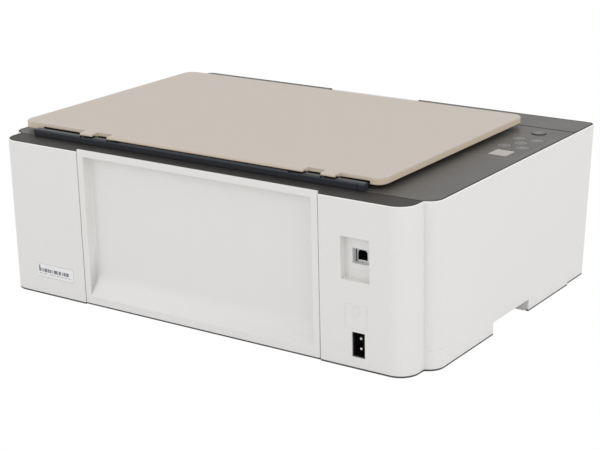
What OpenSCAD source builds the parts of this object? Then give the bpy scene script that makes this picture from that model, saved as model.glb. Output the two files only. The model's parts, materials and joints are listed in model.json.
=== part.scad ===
/* [Body] */
// Width of the control panel side, from the side wall to the glass
panel_w = 105.5; // [104:0.5:107]
// Width beyond the glass on the far side
far_w = 22.5; // [21:0.5:25]
// Depth of the top in front of the glass
front_w = 50; // [49:0.5:54]
// Height of the top edge of the walls above the floor
wall_top = 135.5; // [134:0.5:145]
// Gap under the walls, which is the height of the rubber feet
foot_h = 1.5; // [1:0.1:3]
// Thickness of the outer walls
wall_t = 2.2; // [1.8:0.1:3]
// Width of white rim left beside the dark top
rim_w = 1; // [0.8:0.1:1.4]
// Radius of the rear corners of the main body
corner_r = 13.5; // [10:0.5:16]
// Radius of the front corners
front_r = 8; // [5:0.5:10]
// Depth of the narrower block at the rear
step_d = 22.8; // [21:0.2:25]
// How far the rear block stands in from each side
step_in = 10; // [6:0.5:14]
// Radius of the corners of the rear block
step_r = 16; // [12:0.5:18]
// How far the front leans in from its top edge to its toe
front_lean = 14; // [10:0.5:16]
// How much further the front runs in below the toe line
toe_in = 4; // [2:0.5:6]
// Height of the toe line
toe_z = 15; // [12:0.5:18]
// Extra gap under the walls towards the front
lift_h = 1.3; // [0.8:0.1:1.8]
// Thickness of the floor of the base
floor_t = 2.5; // [2:0.1:3.5]
// Thickness of the dark top pieces
top_t = 2.2; // [1.8:0.1:2.8]
// Seam between neighbouring outer pieces
seam = 0.6; // [0.4:0.05:0.8]
// Gap between pieces that only rest on each other
seat_gap = 0.2; // [0.1:0.05:0.3]
// Radial running clearance of pins and shafts
run_gap = 0.05; // [0.03:0.01:0.08]

/* [Hand holds] */
// Rear end of the hand hold along the side
hold_rear_y = 36; // [30:1:42]
// Length of the hand hold
hold_len = 62; // [50:1:70]
// Height of the hand hold above the floor
hold_h = 12.2; // [10:0.2:14]
// Reach of the hand hold into the base
hold_in = 22; // [16:1:26]

/* [Feet and screws] */
// Radius of a foot
foot_r = 8; // [6:0.5:10]
// Distance of the feet from the sides
foot_side = 37.5; // [30:0.5:50]
// Distance of the front feet from the front top edge
foot_front = 51; // [45:1:60]
// Distance of the rear feet from the rear face
foot_back = 59; // [52:1:70]
// Radius of the shank of a case screw
screw_r = 1.25; // [1:0.05:1.5]
// Length of a case screw under its head
screw_len = 12; // [10:0.5:13]
// Height of the screw bosses above the base
boss_h = 15; // [14:0.5:20]
// Distance of the front screws from the front top edge
screw_front = 56; // [50:1:62]
// Distance of the rear screws from the rear face
screw_back = 73; // [68:1:80]

/* [Scanner] */
// Length of the glass opening
glass_w = 297; // [290:1:300]
// Width of the glass opening
glass_d = 216; // [210:1:218]
// Thickness of the glass
glass_t = 2.8; // [2:0.1:3.5]
// How far the glass reaches under the frame on each side
glass_lap = 4; // [3:0.5:5]
// Reach of the scanner housing beyond the glass, towards the control side
scan_side = 11; // [9:0.5:12]
// Reach of the scanner housing beyond the glass, towards the far side
scan_far = 14; // [12:0.5:15]
// Reach of the scanner housing behind the glass
scan_back = 9; // [8:0.5:10]
// Depth of the scanner housing below the top
scan_h = 23.5; // [22:0.5:24]
// Wall of the scanner housing
scan_wall = 2; // [1.6:0.1:2.4]
// Width of the scan head along its travel
head_w = 22; // [18:1:24]
// Height of the scan head
head_h = 13; // [11:0.5:13.5]
// Travel of the scan head is left over between the end walls
head_stop = 3; // [2:0.5:4]
// Radius of the scan head's rod
scan_rod_r = 3; // [2.5:0.1:3.5]

/* [Lid] */
// Reach of the lid beyond the glass, towards the control side
lid_side = 55; // [51:1:57]
// Reach of the lid beyond the glass, towards the far side
lid_far = 16; // [13:0.5:18]
// Reach of the lid in front of the glass
lid_front = 11; // [8:0.5:12]
// Reach of the lid behind the glass
lid_back = 4.9; // [4:0.1:5.2]
// Gap between the dark top and the underside of the lid
lid_gap = 3.6; // [3.2:0.1:4.4]
// Thickness of the lid
lid_t = 5.6; // [5:0.1:7]
// Corner radius of the lid
lid_r = 10; // [6:0.5:14]
// Distance of the hinge axis behind the lid's rear edge
hinge_back = 4.6; // [4.4:0.1:5]
// Height of the hinge axis above the dark top
hinge_up = 3; // [2.9:0.1:3.4]
// Radius of the hinge eyes
eye_r = 2.8; // [2.6:0.05:2.85]
// Radius of the hinge pins
hinge_pin_r = 1.2; // [1:0.1:1.5]
// Distance of the first hinge from the far end of the lid
hinge_far = 94.4; // [90:0.1:98]
// Distance of the second hinge from the control side end of the lid
hinge_side = 59.2; // [57:0.1:64]
// Height of the dark undercut along the rear edge of the lid
undercut_h = 2.7; // [2:0.1:3]
// Reach of the lid's rear lip over the hinge beam
lip_reach = 2.9; // [2:0.1:2.9]
// Distance from the hinge axis forward to the neck of a hinge tab
tab_neck = 1.7; // [1.6:0.1:2.2]
// Width of the fixed knuckle of a hinge
knuckle_w = 16.4; // [14:0.2:18]
// Width of each hinge tab of the lid
tab_w = 13.2; // [11:0.2:15]
// Distance of the hinge beam's end from the control side end of the lid
beam_side = 11.2; // [9:0.1:14]
// Distance of the hinge beam's end from the far end of the lid
beam_far = 21; // [18:0.5:24]
// Height of the hinge beam
beam_h = 5.9; // [5.8:0.1:6.2]

/* [Control panel] */
// Distance of the group of buttons from the side
keys_side = 26.2; // [25.6:0.1:28]
// Distance of the group of buttons from the front top edge
keys_front = 93.3; // [91:0.1:95]
// Half the spacing of the buttons across
keys_dx = 8.3; // [8:0.1:9.5]
// Half the spacing of the buttons along
keys_dy = 13.2; // [12.5:0.1:14]
// Radius of a round button
key_r = 5.8; // [5:0.1:6]
// Distance of the power button in front of the group
power_dy = 35.4; // [35:0.1:39]
// How far the power button stands up
power_up = 0.8; // [0.5:0.1:1.2]
// Travel of a button
key_travel = 0.8; // [0.6:0.05:0.9]
// Width of the display window
display_w = 16.7; // [14:0.1:17]
// Length of the display window
display_d = 17; // [15:0.2:18]
// Distance of the display behind the group of buttons
display_dy = 35.2; // [34:0.2:37]
// Radius of the status light
light_r = 1; // [0.8:0.1:1.5]

/* [Rear tray] */
// Distance of the rear tray from the control side
tray_side_in = 89; // [87.5:0.5:90.5]
// Distance of the rear tray from the far side
tray_far_in = 96.4; // [94.5:0.1:97.5]
// Thickness of the rear tray
tray_t = 14; // [13:0.5:15]
// Depth of the hollow in its outer face
dish_d = 9.8; // [8:0.2:10.5]
// Width of the rim beside the hollow
dish_rim = 6; // [5:0.5:8]
// Width of the rim above the hollow
dish_top = 5.8; // [5:0.2:8]
// Width of the rim below the hollow
dish_low = 8.2; // [7:0.1:10]
// How far the tray's top lip stands above the walls
tray_lip = 2; // [1:0.1:3]
// Thickness of the top lip
lip_t = 2.2; // [1.8:0.1:2.6]
// Height of the lower edge of the tray above the floor
tray_z0 = 2; // [1.9:0.1:3]
// Slanted cut along the rear tray's lower inner edge, which clears the paper chute
tray_cut = 1.8; // [1.5:0.1:2.5]
// Height of the tray's hinge pins
tray_pin_z = 9; // [8.5:0.5:10]
// Radius of the tray's hinge pins
tray_pin_r = 2.5; // [2:0.1:3]
// Height of the paper guide's fin
guide_h = 46; // [35:1:48]
// Distance of the guide from the far edge of the tray
guide_in = 9; // [8:0.5:12]
// Travel of the paper guide
guide_travel = 100; // [80:1:106]

/* [Front] */
// Distance of the front opening from the control side
front_side_in = 66.5; // [62.5:0.5:72.5]
// Distance of the front opening from the far side
front_far_in = 36.5; // [32.5:0.5:42.5]
// Height of the seam between the two front flaps
flap_split = 76.6; // [70:0.2:80]
// Thickness of the front flaps
flap_t = 3; // [2.5:0.1:3.6]
// Radius of the pins of the front flaps
flap_pin_r = 1.4; // [1:0.1:1.5]
// Width of the finger notch in the front strip
notch_w = 97; // [80:1:110]
// Depth of the finger notch
notch_d = 13; // [10:0.5:16]
// Width of the output extension
ext_w = 150; // [120:1:170]

/* [Paper drive] */
// Gear module
gear_m = 0.8; // [0.8:0.01:0.8]
// Teeth of the feed roller gear
feed_teeth = 50; // [50:1:50]
// Teeth of the gear between feed and exit
exit_idler_teeth = 21; // [21:1:21]
// Teeth of the exit roller gear
exit_teeth = 43; // [43:1:43]
// Teeth of the motor pinion
pinion_teeth = 12; // [12:1:12]
// Teeth of the gear between pinion and pick roller
pick_idler_teeth = 50; // [50:1:50]
// Teeth of the pick roller gear
pick_teeth = 41; // [41:1:41]
// Width of a gear
gear_w = 2.6; // [2.2:0.1:2.8]
// Height of the paper path above the floor
paper_z = 32; // [31:0.2:33]
// Radius of the feed roller
feed_r = 7; // [6:0.1:7]
// Distance of the feed roller from the rear face
feed_back = 89; // [88:0.5:90]
// Radius of the exit rollers
exit_r = 6; // [5:0.1:6]
// Radius of the pick roller
pick_r = 12.5; // [11:0.1:12.6]
// Radius of the pinch rollers
pinch_r = 4; // [3.5:0.1:4.2]
// Radius of the star wheels
star_r = 4; // [3.5:0.1:4.2]
// How far the paper path stands in from the ends of the rear tray
path_in = 5.5; // [5:0.1:6]
// Depth of the slot that takes the paper
slot_d = 7.8; // [7:0.1:8.5]
// Thickness of the wall in front of the paper slot
chute_t = 2; // [1.6:0.1:2.4]
// Gap between that wall and the scanner housing
chute_gap = 3.2; // [2:0.1:4]

/* [Print carriage] */
// Distance of the parked carriage from the far side
park_in = 62.5; // [60.5:0.5:64.5]
// Width of the carriage
carriage_w = 60; // [58:0.5:64]
// Radius of the carriage rod
rod_r = 4; // [3.5:0.1:4.5]
// Radius of the belt pulleys
pulley_r = 6; // [5:0.1:6.5]
// Thickness of the belts
belt_t = 0.9; // [0.7:0.1:1.2]
// Thickness of the side plates and the rail
plate_t = 1.4; // [1.2:0.1:1.6]
// Distance of the side plate from the control side
chassis_in = 62.5; // [61.5:0.5:63]
// Diameter of the motors
motor_d = 23; // [20:0.5:24]
// Length of the motors
motor_len = 21.8; // [18:0.1:22]

/* [Rear connections] */
// Distance of the USB port from the control side
usb_in = 57.1; // [56:0.1:58]
// Height of the USB port
usb_z = 89.2; // [86:0.1:92]
// Width of the recess round the USB port
usb_w = 25.4; // [22:0.1:28]
// Height of the recess round the USB port
usb_h = 33.8; // [30:0.1:35]
// Depth of the recess round the USB port
usb_d = 7.2; // [6:0.1:9]
// Depth of the port's hole behind that recess
port_d = 5.5; // [4:0.1:6]
// Width of the port's hole
port_w = 17.6; // [16:0.1:18]
// Reach of the port's hole beside the port's middle, away from the control side
port_side = 5.5; // [5.3:0.1:6]
// Height of the port's hole
port_h = 11.9; // [11:0.1:12.2]
// Distance of the power inlet from the control side
inlet_in = 53.8; // [53:0.1:55]
// Height of the middle of the power inlet
inlet_z = 21.3; // [20:0.1:21.5]
// Width of the opening of the power inlet
inlet_w = 9.9; // [9:0.1:10.5]
// Height of the opening of the power inlet
inlet_h = 18.6; // [17:0.1:18.8]
// Spacing of the two contact pins
contact_pitch = 8.3; // [8:0.1:9]
// Width of the rear label
label_w = 41.5; // [30:0.5:50]
// Height of the rear label
label_h = 11.3; // [8:0.1:14]
// Distance of the rear label from the far side
label_in = 62.5; // [58:0.5:68]
// Height of the middle of the rear label
label_z = 23.6; // [20:0.1:30]

/* [Hidden] */
$fn = 48;

body_w = panel_w + glass_w + far_w;
body_d = front_w + glass_d + scan_back + chute_gap + chute_t + slot_d + tray_t;
hw = body_w/2;
hd = body_d/2;
glass_x0 = -hw + panel_w;
glass_y0 = -hd + front_w;
lid_x0 = glass_x0 - lid_side;
lid_x1 = glass_x0 + glass_w + lid_far;
lid_y0 = glass_y0 - lid_front;
lid_y1 = glass_y0 + glass_d + lid_back;
hinge_x = [lid_x1 - hinge_far, lid_x0 + hinge_side];
beam_x0 = lid_x0 + beam_side;
beam_x1 = lid_x1 - beam_far;
keys_x = -hw + keys_side;
keys_y = -hd + keys_front;
tray_x0 = -hw + tray_side_in;
tray_x1 = hw - tray_far_in;
path_x0 = tray_x0 + path_in;
path_x1 = tray_x1 - path_in;
front_x0 = -hw + front_side_in;
front_x1 = hw - front_far_in;
notch_x = (front_x0 + front_x1)/2;
feed_y = hd - feed_back;
park_x = hw - park_in;
usb_x = -hw + usb_in;
inlet_x = -hw + inlet_in;
label_x = hw - label_in;
top_z = wall_top;
deck_z = top_z - top_t;
floor_z = foot_h + floor_t;
lean_slope = front_lean/(top_z - toe_z);
lean_a = atan(lean_slope);
eps = 0.01;

// y of the front face at height z
function front_y(z) = z >= toe_z ? -hd + lean_slope*(top_z - z)
  : -hd + front_lean + toe_in*(toe_z - z)/(toe_z - foot_h);
// points on an arc in the plane of two axes
function arc(cx, cy, r, a0, a1, n) =
  [for (i = [0:n]) [cx + r*cos(a0 + (a1 - a0)*i/n), cy + r*sin(a0 + (a1 - a0)*i/n)]];

// block between two corners
module block(a, b) {
  translate(a) cube([b[0] - a[0], b[1] - a[1], b[2] - a[2]]);
}
// round bar along x, y or z
module rod_x(x0, x1, y, z, r) {
  translate([x0, y, z]) rotate([0, 90, 0]) cylinder(h = x1 - x0, r = r);
}
module rod_y(x, y0, y1, z, r) {
  translate([x, y0, z]) rotate([-90, 0, 0]) cylinder(h = y1 - y0, r = r);
}
module rod_z(x, y, z0, z1, r) {
  translate([x, y, z0]) cylinder(h = z1 - z0, r = r);
}
// outline in the y-z plane drawn out along x
module along_x(x0, x1) {
  translate([x0, 0, 0]) rotate([90, 0, 90]) linear_extrude(x1 - x0) children();
}
// rectangle with front and rear corners of different radii
module round_rect(x0, x1, y0, y1, rf, rr) {
  translate([x0, y0 + rf]) square([x1 - x0, y1 - y0 - rf - rr]);
  translate([x0 + rf, y0]) square([x1 - x0 - 2*rf, (y1 - y0)/2]);
  translate([x0 + rr, (y0 + y1)/2]) square([x1 - x0 - 2*rr, (y1 - y0)/2]);
  for (x = [x0 + rf, x1 - rf]) translate([x, y0 + rf]) circle(r = rf);
  for (x = [x0 + rr, x1 - rr]) translate([x, y1 - rr]) circle(r = rr);
}
// outline of the main body, drawn in by inset, with its front moved back
module main_outline(inset, back) {
  round_rect(-hw + inset, hw - inset, -hd + back + inset, hd - step_d - inset,
    front_r - inset, corner_r - inset);
}
// outline of the narrower rear block
module rear_outline(inset) {
  round_rect(-hw + step_in + inset, hw - step_in - inset, 0, hd - inset, 1, step_r - inset);
}
// whole outline at the top of the body
module top_outline(inset) {
  main_outline(inset, 0);
  rear_outline(inset);
}
join_y = -hd + 91;
toe_slope = toe_in/(toe_z - foot_h);
// y of the toe plane at height z
function toe_y(z) = -hd + front_lean + toe_slope*(toe_z - z);
// body as one solid, drawn in by inset: its front part is tilted about the top front edge
module body_solid(inset, z0, z1) {
  difference() {
    intersection() {
      translate([0, -hd, top_z]) rotate([lean_a, 0, 0]) translate([0, 0, -body_w])
        linear_extrude(2*body_w) translate([0, hd])
          round_rect(-hw + inset, hw - inset, -hd + inset, hd - 91, front_r - inset, 1);
      block([-hw - 1, -hd - 20, z0], [hw + 1, join_y, z1]);
    }
    along_x(-hw - 2, hw + 2) polygon([[toe_y(toe_z + 30) + inset, toe_z + 30], [toe_y(-20) + inset, -20],
      [-hd - 60, -20], [-hd - 60, toe_z + 30]]);
  }
  translate([0, 0, z0]) linear_extrude(z1 - z0) {
    translate([-hw + inset, join_y]) square([body_w - 2*inset, hd]);
    round_rect(-hw + inset, hw - inset, 0, hd - step_d - inset, 1, corner_r - inset);
    rear_outline(inset);
  }
}

// ---- base ----
screw_x = hw - wall_t - 4;
screw_head_r = 2.9;
screw_head_t = 1.8;
screw_spots = [for (sx = [-1, 1], y = [-hd + screw_front, hd - screw_back]) [sx*screw_x, y]];
foot_spots = [for (sx = [-1, 1], y = [-hd + foot_front, hd - foot_back]) [sx*(hw - foot_side), y]];
hold_y0 = hold_rear_y - hold_len;
hold_wall = 1.6;
sled_wall = 2;
sled_ring_h = 14;
base_rear_gap = 7;
base_rear_y = hd - tray_t - base_rear_gap;

module base_case() color("gainsboro") difference() {
  union() {
    translate([0, 0, foot_h]) linear_extrude(floor_t) difference() {
      union() {
        main_outline(wall_t + 0.3, front_lean + toe_in);
        rear_outline(wall_t + 0.3);
      }
      translate([tray_x0 - 4, base_rear_y]) square([tray_x1 - tray_x0 + 8, 40]);
      translate([front_x0 - 8, -hd]) square([front_x1 - front_x0 + 16, hd + base_front_y]);
    }
    for (sx = [0, 1]) mirror([sx, 0, 0])
      block([-hw + wall_t + 0.3, hold_y0 - hold_wall, foot_h],
        [-hw + hold_in + hold_wall, hold_rear_y + hold_wall, hold_h + hold_wall]);
    block([sled_x0 - 0.3 - sled_wall, sled_y0 - 0.3 - sled_wall, floor_z - eps],
      [sled_x1 + 0.3 + sled_wall, sled_y1 + 0.3 + sled_wall, floor_z + sled_ring_h]);
    block([front_x0 + 4, base_front_y - 3, floor_z], [front_x1 - 4, base_front_y - 1, floor_z + sill_h]);
    block([front_x0 + 4, base_front_y - 1 - eps, floor_z - eps], [front_x1 - 4, base_front_y - 1 + sill_d,
      floor_z + 1.6]);
  }
  for (sx = [0, 1]) mirror([sx, 0, 0])
    block([-hw - 1, hold_y0, -1], [-hw + hold_in, hold_rear_y, hold_h]);
  block([sled_x0 - 0.3, sled_y0 - 0.3, floor_z], [sled_x1 + 0.3, sled_y1 + 0.3, floor_z + 20]);
  for (p = screw_spots) {
    rod_z(p[0], p[1], 0, floor_z + 1, screw_r + 0.2);
    rod_z(p[0], p[1], 0, foot_h + screw_head_t, screw_head_r + 0.2);
  }
}
module rubber_feet() color("dimgray") for (p = foot_spots) rod_z(p[0], p[1], 0, foot_h, foot_r);
module case_screws() color("silver") for (p = screw_spots) difference() {
  union() {
    rod_z(p[0], p[1], foot_h + 0.3, foot_h + screw_head_t, screw_head_r);
    rod_z(p[0], p[1], foot_h + screw_head_t - eps, foot_h + screw_head_t + screw_len, screw_r);
  }
  block([p[0] - 1.8, p[1] - 0.3, 0], [p[0] + 1.8, p[1] + 0.3, foot_h + 0.9]);
  block([p[0] - 0.3, p[1] - 1.8, 0], [p[0] + 0.3, p[1] + 1.8, foot_h + 0.9]);
}

// ---- outer shell ----
tray_side = 0.6;
cheek_t = 2.2;
cheek_y0 = hd - 26.5;
rail_h = 8;
front_rail_y = -hd + notch_d + 1;
tray_pin_y = hd - 6;
boss_r = 4.5;
usb_rim = 1.6;
recess_x = usb_x - 0.8;
recess_z = usb_z - 0.3;
port_x1 = usb_x + port_side;
port_x0 = port_x1 - port_w;
port_z0 = usb_z - port_side;
door_pin_z = flap_split + 2.6;
door_pin_y = front_y(door_pin_z) + 1.9;
flap_pin_z = foot_h + 5.2;
flap_pin_y = front_y(flap_pin_z) + 2.1;
label_t = 0.2;
lift_y = -hd + foot_front;
inlet_wall = 0.6;
inlet_deep = 1;

module pin_boss(y, z) {
  for (x = [[front_x0 - 6, front_x0 - 0.2], [front_x1 + 0.2, front_x1 + 6]])
    block([x[0], y - 1.2, z - 2.6], [x[1], y + 3.8, z + 3.6]);
}
module main_shell() color("whitesmoke") difference() {
  union() {
    difference() {
      body_solid(0, foot_h, top_z);
      body_solid(wall_t, foot_h - 1, top_z + 1);
      block([front_x0, -hd - 10, -1], [front_x1, -hd + 40, deck_z]);
      block([tray_x0 - tray_side, hd - 60, -1], [tray_x1 + tray_side, hd + 10, top_z + 10]);
    }
    for (x = [tray_x0 - tray_side - cheek_t, tray_x1 + tray_side])
      block([x, cheek_y0, floor_z + 0.1], [x + cheek_t, hd - wall_t + 0.5, deck_z - seat_gap]);
    block([tray_x0 - tray_side - 1, cheek_y0, deck_z - rail_h], [tray_x1 + tray_side + 1, cheek_y0 + 2.4,
      deck_z - seat_gap]);
    for (x = [front_x0 - 2, front_x1])
      block([x, -hd + 2, deck_z - rail_h], [x + 2, front_rail_y + 3, deck_z - seat_gap]);
    block([front_x0 - 1, front_rail_y, deck_z - rail_h], [front_x1 + 1, front_rail_y + 3, deck_z - seat_gap]);
    pin_boss(door_pin_y, door_pin_z);
    pin_boss(flap_pin_y, flap_pin_z);
    for (p = screw_spots) rod_z(p[0], p[1], floor_z + 0.1, floor_z + boss_h, boss_r);
    block([recess_x - usb_w/2 - usb_rim, hd - usb_d - usb_rim, recess_z - usb_h/2 - usb_rim],
      [recess_x + usb_w/2 + usb_rim, hd - wall_t + 0.5, recess_z + usb_h/2 + usb_rim]);
    block([port_x0 - usb_rim, hd - usb_d - port_d, port_z0 - usb_rim],
      [port_x1 + usb_rim, hd - usb_d - 0.5, port_z0 + port_h + usb_rim]);
  }
  translate([0, 0, deck_z - 0.1]) linear_extrude(top_t + 1) top_outline(rim_w);
  block([notch_x - notch_w/2, -hd - 1, deck_z - 0.2], [notch_x + notch_w/2, -hd + rim_w + 1, top_z + 1]);
  block([-hw - 1, -hd - 10, 0], [hw + 1, lift_y, foot_h + lift_h]);
  for (sx = [0, 1]) mirror([sx, 0, 0])
    block([-hw - 1, hold_y0, -1], [-hw + wall_t + 1, hold_rear_y, hold_h]);
  rod_x(tray_x0 - 5, tray_x1 + 5, tray_pin_y, tray_pin_z, tray_pin_r + run_gap);
  rod_x(front_x0 - 3.6, front_x1 + 3.6, door_pin_y, door_pin_z, flap_pin_r + run_gap);
  rod_x(front_x0 - 3.6, front_x1 + 3.6, flap_pin_y, flap_pin_z, flap_pin_r + run_gap);
  for (p = screw_spots) rod_z(p[0], p[1], 0, floor_z + boss_h - 1, screw_r + 0.02);
  block([recess_x - usb_w/2, hd - usb_d, recess_z - usb_h/2],
    [recess_x + usb_w/2, hd + 1, recess_z + usb_h/2]);
  block([port_x0, hd - usb_d - port_d - 1, port_z0], [port_x1, hd, port_z0 + port_h]);
  block([inlet_x - inlet_w/2 - inlet_wall - 0.2, hd - 5, inlet_z - inlet_h/2 - inlet_wall - 0.2],
    [inlet_x + inlet_w/2 + inlet_wall + 0.2, hd + 1, inlet_z + inlet_h/2 + inlet_wall + 0.2]);
  block([label_x - label_w/2 - 0.1, hd - label_t, label_z - label_h/2 - 0.1],
    [label_x + label_w/2 + 0.1, hd + 1, label_z + label_h/2 + 0.1]);
}
module rear_label() color("white")
  block([label_x - label_w/2, hd - label_t, label_z - label_h/2],
    [label_x + label_w/2, hd, label_z + label_h/2]);

// ---- dark top ----
front_seam_y = -hd + 40;
rear_seam_y = hd - 23.5;
top_in = rim_w + 0.7;
lcd_x = keys_x - 0.6;
lcd_y = keys_y + display_dy;
power_x = keys_x + 0.8;
power_y = keys_y - power_dy;
light_x = keys_x - 18.6;
light_y = keys_y - 22.7;
key_gap = 0.15;
key_spots = [[0, 0], [keys_dx, -keys_dy], [-keys_dx, keys_dy], [keys_dx, keys_dy],
  [-keys_dx, -keys_dy]];
board_z = deck_z - 9;
board_t = 1.6;

module band(y0, y1) {
  intersection() {
    top_outline(top_in);
    translate([-hw, y0]) square([body_w, y1 - y0]);
  }
}
module scanner_top() color("dimgray") difference() {
  union() {
    translate([0, 0, deck_z]) linear_extrude(top_t) band(front_seam_y + seam/2, rear_seam_y - seam/2);
    for (x = [board_x0 + 4, board_x1 - 4], y = [board_y0 + 4, board_y1 - 4])
      rod_z(x, y, board_z + board_t + 0.1, deck_z + eps, 2.5);
  }
  block([glass_x0, glass_y0, 0], [glass_x0 + glass_w, glass_y0 + glass_d, top_z + 1]);
  for (p = key_spots) rod_z(keys_x + p[0], keys_y + p[1], deck_z - 1, top_z + 1, key_r + key_gap);
  rod_z(power_x, power_y, deck_z - 1, top_z + 1, key_r + key_gap);
  rod_z(light_x, light_y, deck_z - 1, top_z + 1, light_r + 0.05);
  block([lcd_x - display_w/2 - 0.1, lcd_y - display_d/2 - 0.1, deck_z - 1],
    [lcd_x + display_w/2 + 0.1, lcd_y + display_d/2 + 0.1, top_z + 1]);
}
module front_strip() color("dimgray") translate([0, 0, deck_z]) linear_extrude(top_t) difference() {
  band(-hd, front_seam_y - seam/2);
  translate([notch_x - notch_w/2, -hd - 1]) square([notch_w, notch_d + 1]);
}
module rear_strip() color("#4a4744") translate([0, 0, deck_z]) linear_extrude(top_t) difference() {
  band(rear_seam_y + seam/2, hd);
  translate([tray_x0 - tray_side, hd - lip_t - 0.3]) square([tray_x1 - tray_x0 + 2*tray_side, 10]);
}

// ---- scanner ----
scan_x0 = glass_x0 - scan_side;
scan_x1 = glass_x0 + glass_w + scan_far;
scan_y0 = glass_y0 - scan_side;
scan_y1 = glass_y0 + glass_d + scan_back;
scan_z0 = top_z - scan_h;
glass_z0 = deck_z - 0.1 - glass_t;
head_z0 = glass_z0 - 0.8 - head_h;
head_x = scan_x1 - scan_wall - head_stop - head_w/2;
scan_rod_y = glass_y0 + glass_d/2;
scan_rod_z = head_z0 + scan_rod_r + 1;

module scanner_tray() color("#55524f") difference() {
  union() {
    difference() {
      block([scan_x0, scan_y0, scan_z0], [scan_x1, scan_y1, deck_z - 0.1]);
      block([scan_x0 + scan_wall, scan_y0 + scan_wall, scan_z0 + scan_wall],
        [scan_x1 - scan_wall, scan_y1 - scan_wall, deck_z + 1]);
    }
    block([scan_x0 + 1, scan_rod_y + 14, scan_z0 + 1], [scan_x1 - 1, scan_rod_y + 18, head_z0 - 0.3]);
  }
  rod_x(scan_x0 - 1, scan_x1 + 1, scan_rod_y, scan_rod_z, scan_rod_r + 0.02);
}
module scanner_glass() color([0.75, 0.85, 0.85, 0.4])
  block([glass_x0 - glass_lap, glass_y0 - glass_lap, glass_z0],
    [glass_x0 + glass_w + glass_lap, glass_y0 + glass_d + glass_lap, glass_z0 + glass_t]);
module scan_rod() color("silver") rod_x(scan_x0 + 0.3, scan_x1 - 0.3, scan_rod_y, scan_rod_z, scan_rod_r);
module scan_head() color("black") difference() {
  block([head_x - head_w/2, glass_y0 - 2, head_z0], [head_x + head_w/2, glass_y0 + glass_d + 2,
    head_z0 + head_h]);
  rod_x(head_x - head_w, head_x + head_w, scan_rod_y, scan_rod_z, scan_rod_r + run_gap);
  block([head_x - 3, glass_y0 + 2, head_z0 + head_h - 1], [head_x + 3, glass_y0 + glass_d - 2,
    head_z0 + head_h + 1]);
}

// ---- lid and its hinges ----
hinge_y = lid_y1 + hinge_back;
hinge_z = top_z + hinge_up;
lid_z0 = top_z + lid_gap;
beam_y0 = hinge_y - 2.7;
beam_y1 = hinge_y + 3.7;
beam_z0 = top_z + 0.05;
tab_gap = 0.3;
lid_z1 = lid_z0 + lid_t;
lip_z = hinge_z + 4.4;
lip_drop = 0.6;
tab_slot_z = beam_z0 + beam_h - 1.2;
knuckle_ends = [for (x = hinge_x) [x - knuckle_w/2, x + knuckle_w/2]];
tab_ends = [for (x = hinge_x) [x - knuckle_w/2 - tab_w, x + knuckle_w/2 + tab_w]];
undercuts = [[tab_ends[0][1], beam_x1 - 4], knuckle_ends[0], knuckle_ends[1], [beam_x0, tab_ends[1][0]]];
lips = [[knuckle_ends[0][1], tab_ends[0][1]], [knuckle_ends[1][1], knuckle_ends[0][0]],
  [tab_ends[1][0], knuckle_ends[1][0]]];

module hinge_beam() color("#33363b") difference() {
  along_x(beam_x0, beam_x1) polygon([[beam_y0, beam_z0], [beam_y1, beam_z0],
    [beam_y1, beam_z0 + beam_h - 1.2], [beam_y1 - 0.8, beam_z0 + beam_h],
    [beam_y0 + 1, beam_z0 + beam_h], [beam_y0, beam_z0 + beam_h - 1]]);
  for (x = hinge_x, s = [-1, 1]) {
    mid = x + s*(knuckle_w + tab_w)/2;
    block([mid - tab_w/2 - tab_gap, beam_y0 - 1, beam_z0 - 1],
      [mid + tab_w/2 + tab_gap, hinge_y + eye_r + 0.2, beam_z0 + beam_h + 1]);
    block([mid - tab_w/2 - tab_gap, hinge_y, tab_slot_z],
      [mid + tab_w/2 + tab_gap, beam_y1 + 1, beam_z0 + beam_h + 1]);
  }
  block([beam_x0 + 6, beam_y1 - 0.5, beam_z0 - 1], [beam_x0 + 6.6, beam_y1 + 1, beam_z0 + beam_h + 1]);
  for (x = hinge_x) rod_x(x - knuckle_w, x + knuckle_w, hinge_y, hinge_z, hinge_pin_r + 0.01);
  for (x = [beam_x0, beam_x1]) translate([x, 0, beam_z0 + beam_h]) rotate([0, 45, 0])
    cube([1.2, body_d, 1.2], center = true);
}
module hinge_pins() color("silver") for (x = hinge_x)
  rod_x(x - knuckle_w/2 - tab_w + 1, x + knuckle_w/2 + tab_w - 1, hinge_y, hinge_z, hinge_pin_r);
module scanner_lid() color("#c8beb3") difference() {
  union() {
    translate([0, 0, lid_z0]) linear_extrude(lid_t) round_rect(lid_x0, lid_x1, lid_y0, lid_y1, lid_r, lid_r);
    for (x = hinge_x, s = [-1, 1]) {
      mid = x + s*(knuckle_w + tab_w)/2;
      along_x(mid - tab_w/2, mid + tab_w/2) {
        translate([hinge_y, hinge_z]) circle(r = eye_r);
        translate([lid_y1 - 1, hinge_z + 0.4]) square([hinge_back + 1 - tab_neck, lip_z - hinge_z]);
      }
    }
    for (x = lips) along_x(x[0], x[1]) polygon([[lid_y1 - 1, lip_z], [hinge_y, lip_z],
      [hinge_y + lip_reach, lip_z - lip_drop], [hinge_y + lip_reach, lid_z1 - 0.3], [lid_y1, lid_z1],
      [lid_y1 - 1, lid_z1]]);
  }
  for (x = undercuts)
    block([x[0], lid_y1 - 3, lid_z0 - 1], [x[1], lid_y1 + 1, lid_z0 + undercut_h]);
  for (x = hinge_x) rod_x(x - knuckle_w*2, x + knuckle_w*2, hinge_y, hinge_z, hinge_pin_r + run_gap);
  block([glass_x0 - 6, glass_y0 - 4, lid_z0 - 1], [glass_x0 + glass_w + 5, glass_y0 + glass_d - 1,
    lid_z0 + 1.5]);
}
module lid_backing() color("white")
  block([glass_x0 - 5.5, glass_y0 - 3.5, top_z + 0.3], [glass_x0 + glass_w + 4.5,
    glass_y0 + glass_d - 1.5, lid_z0 + 1.4]);

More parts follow.
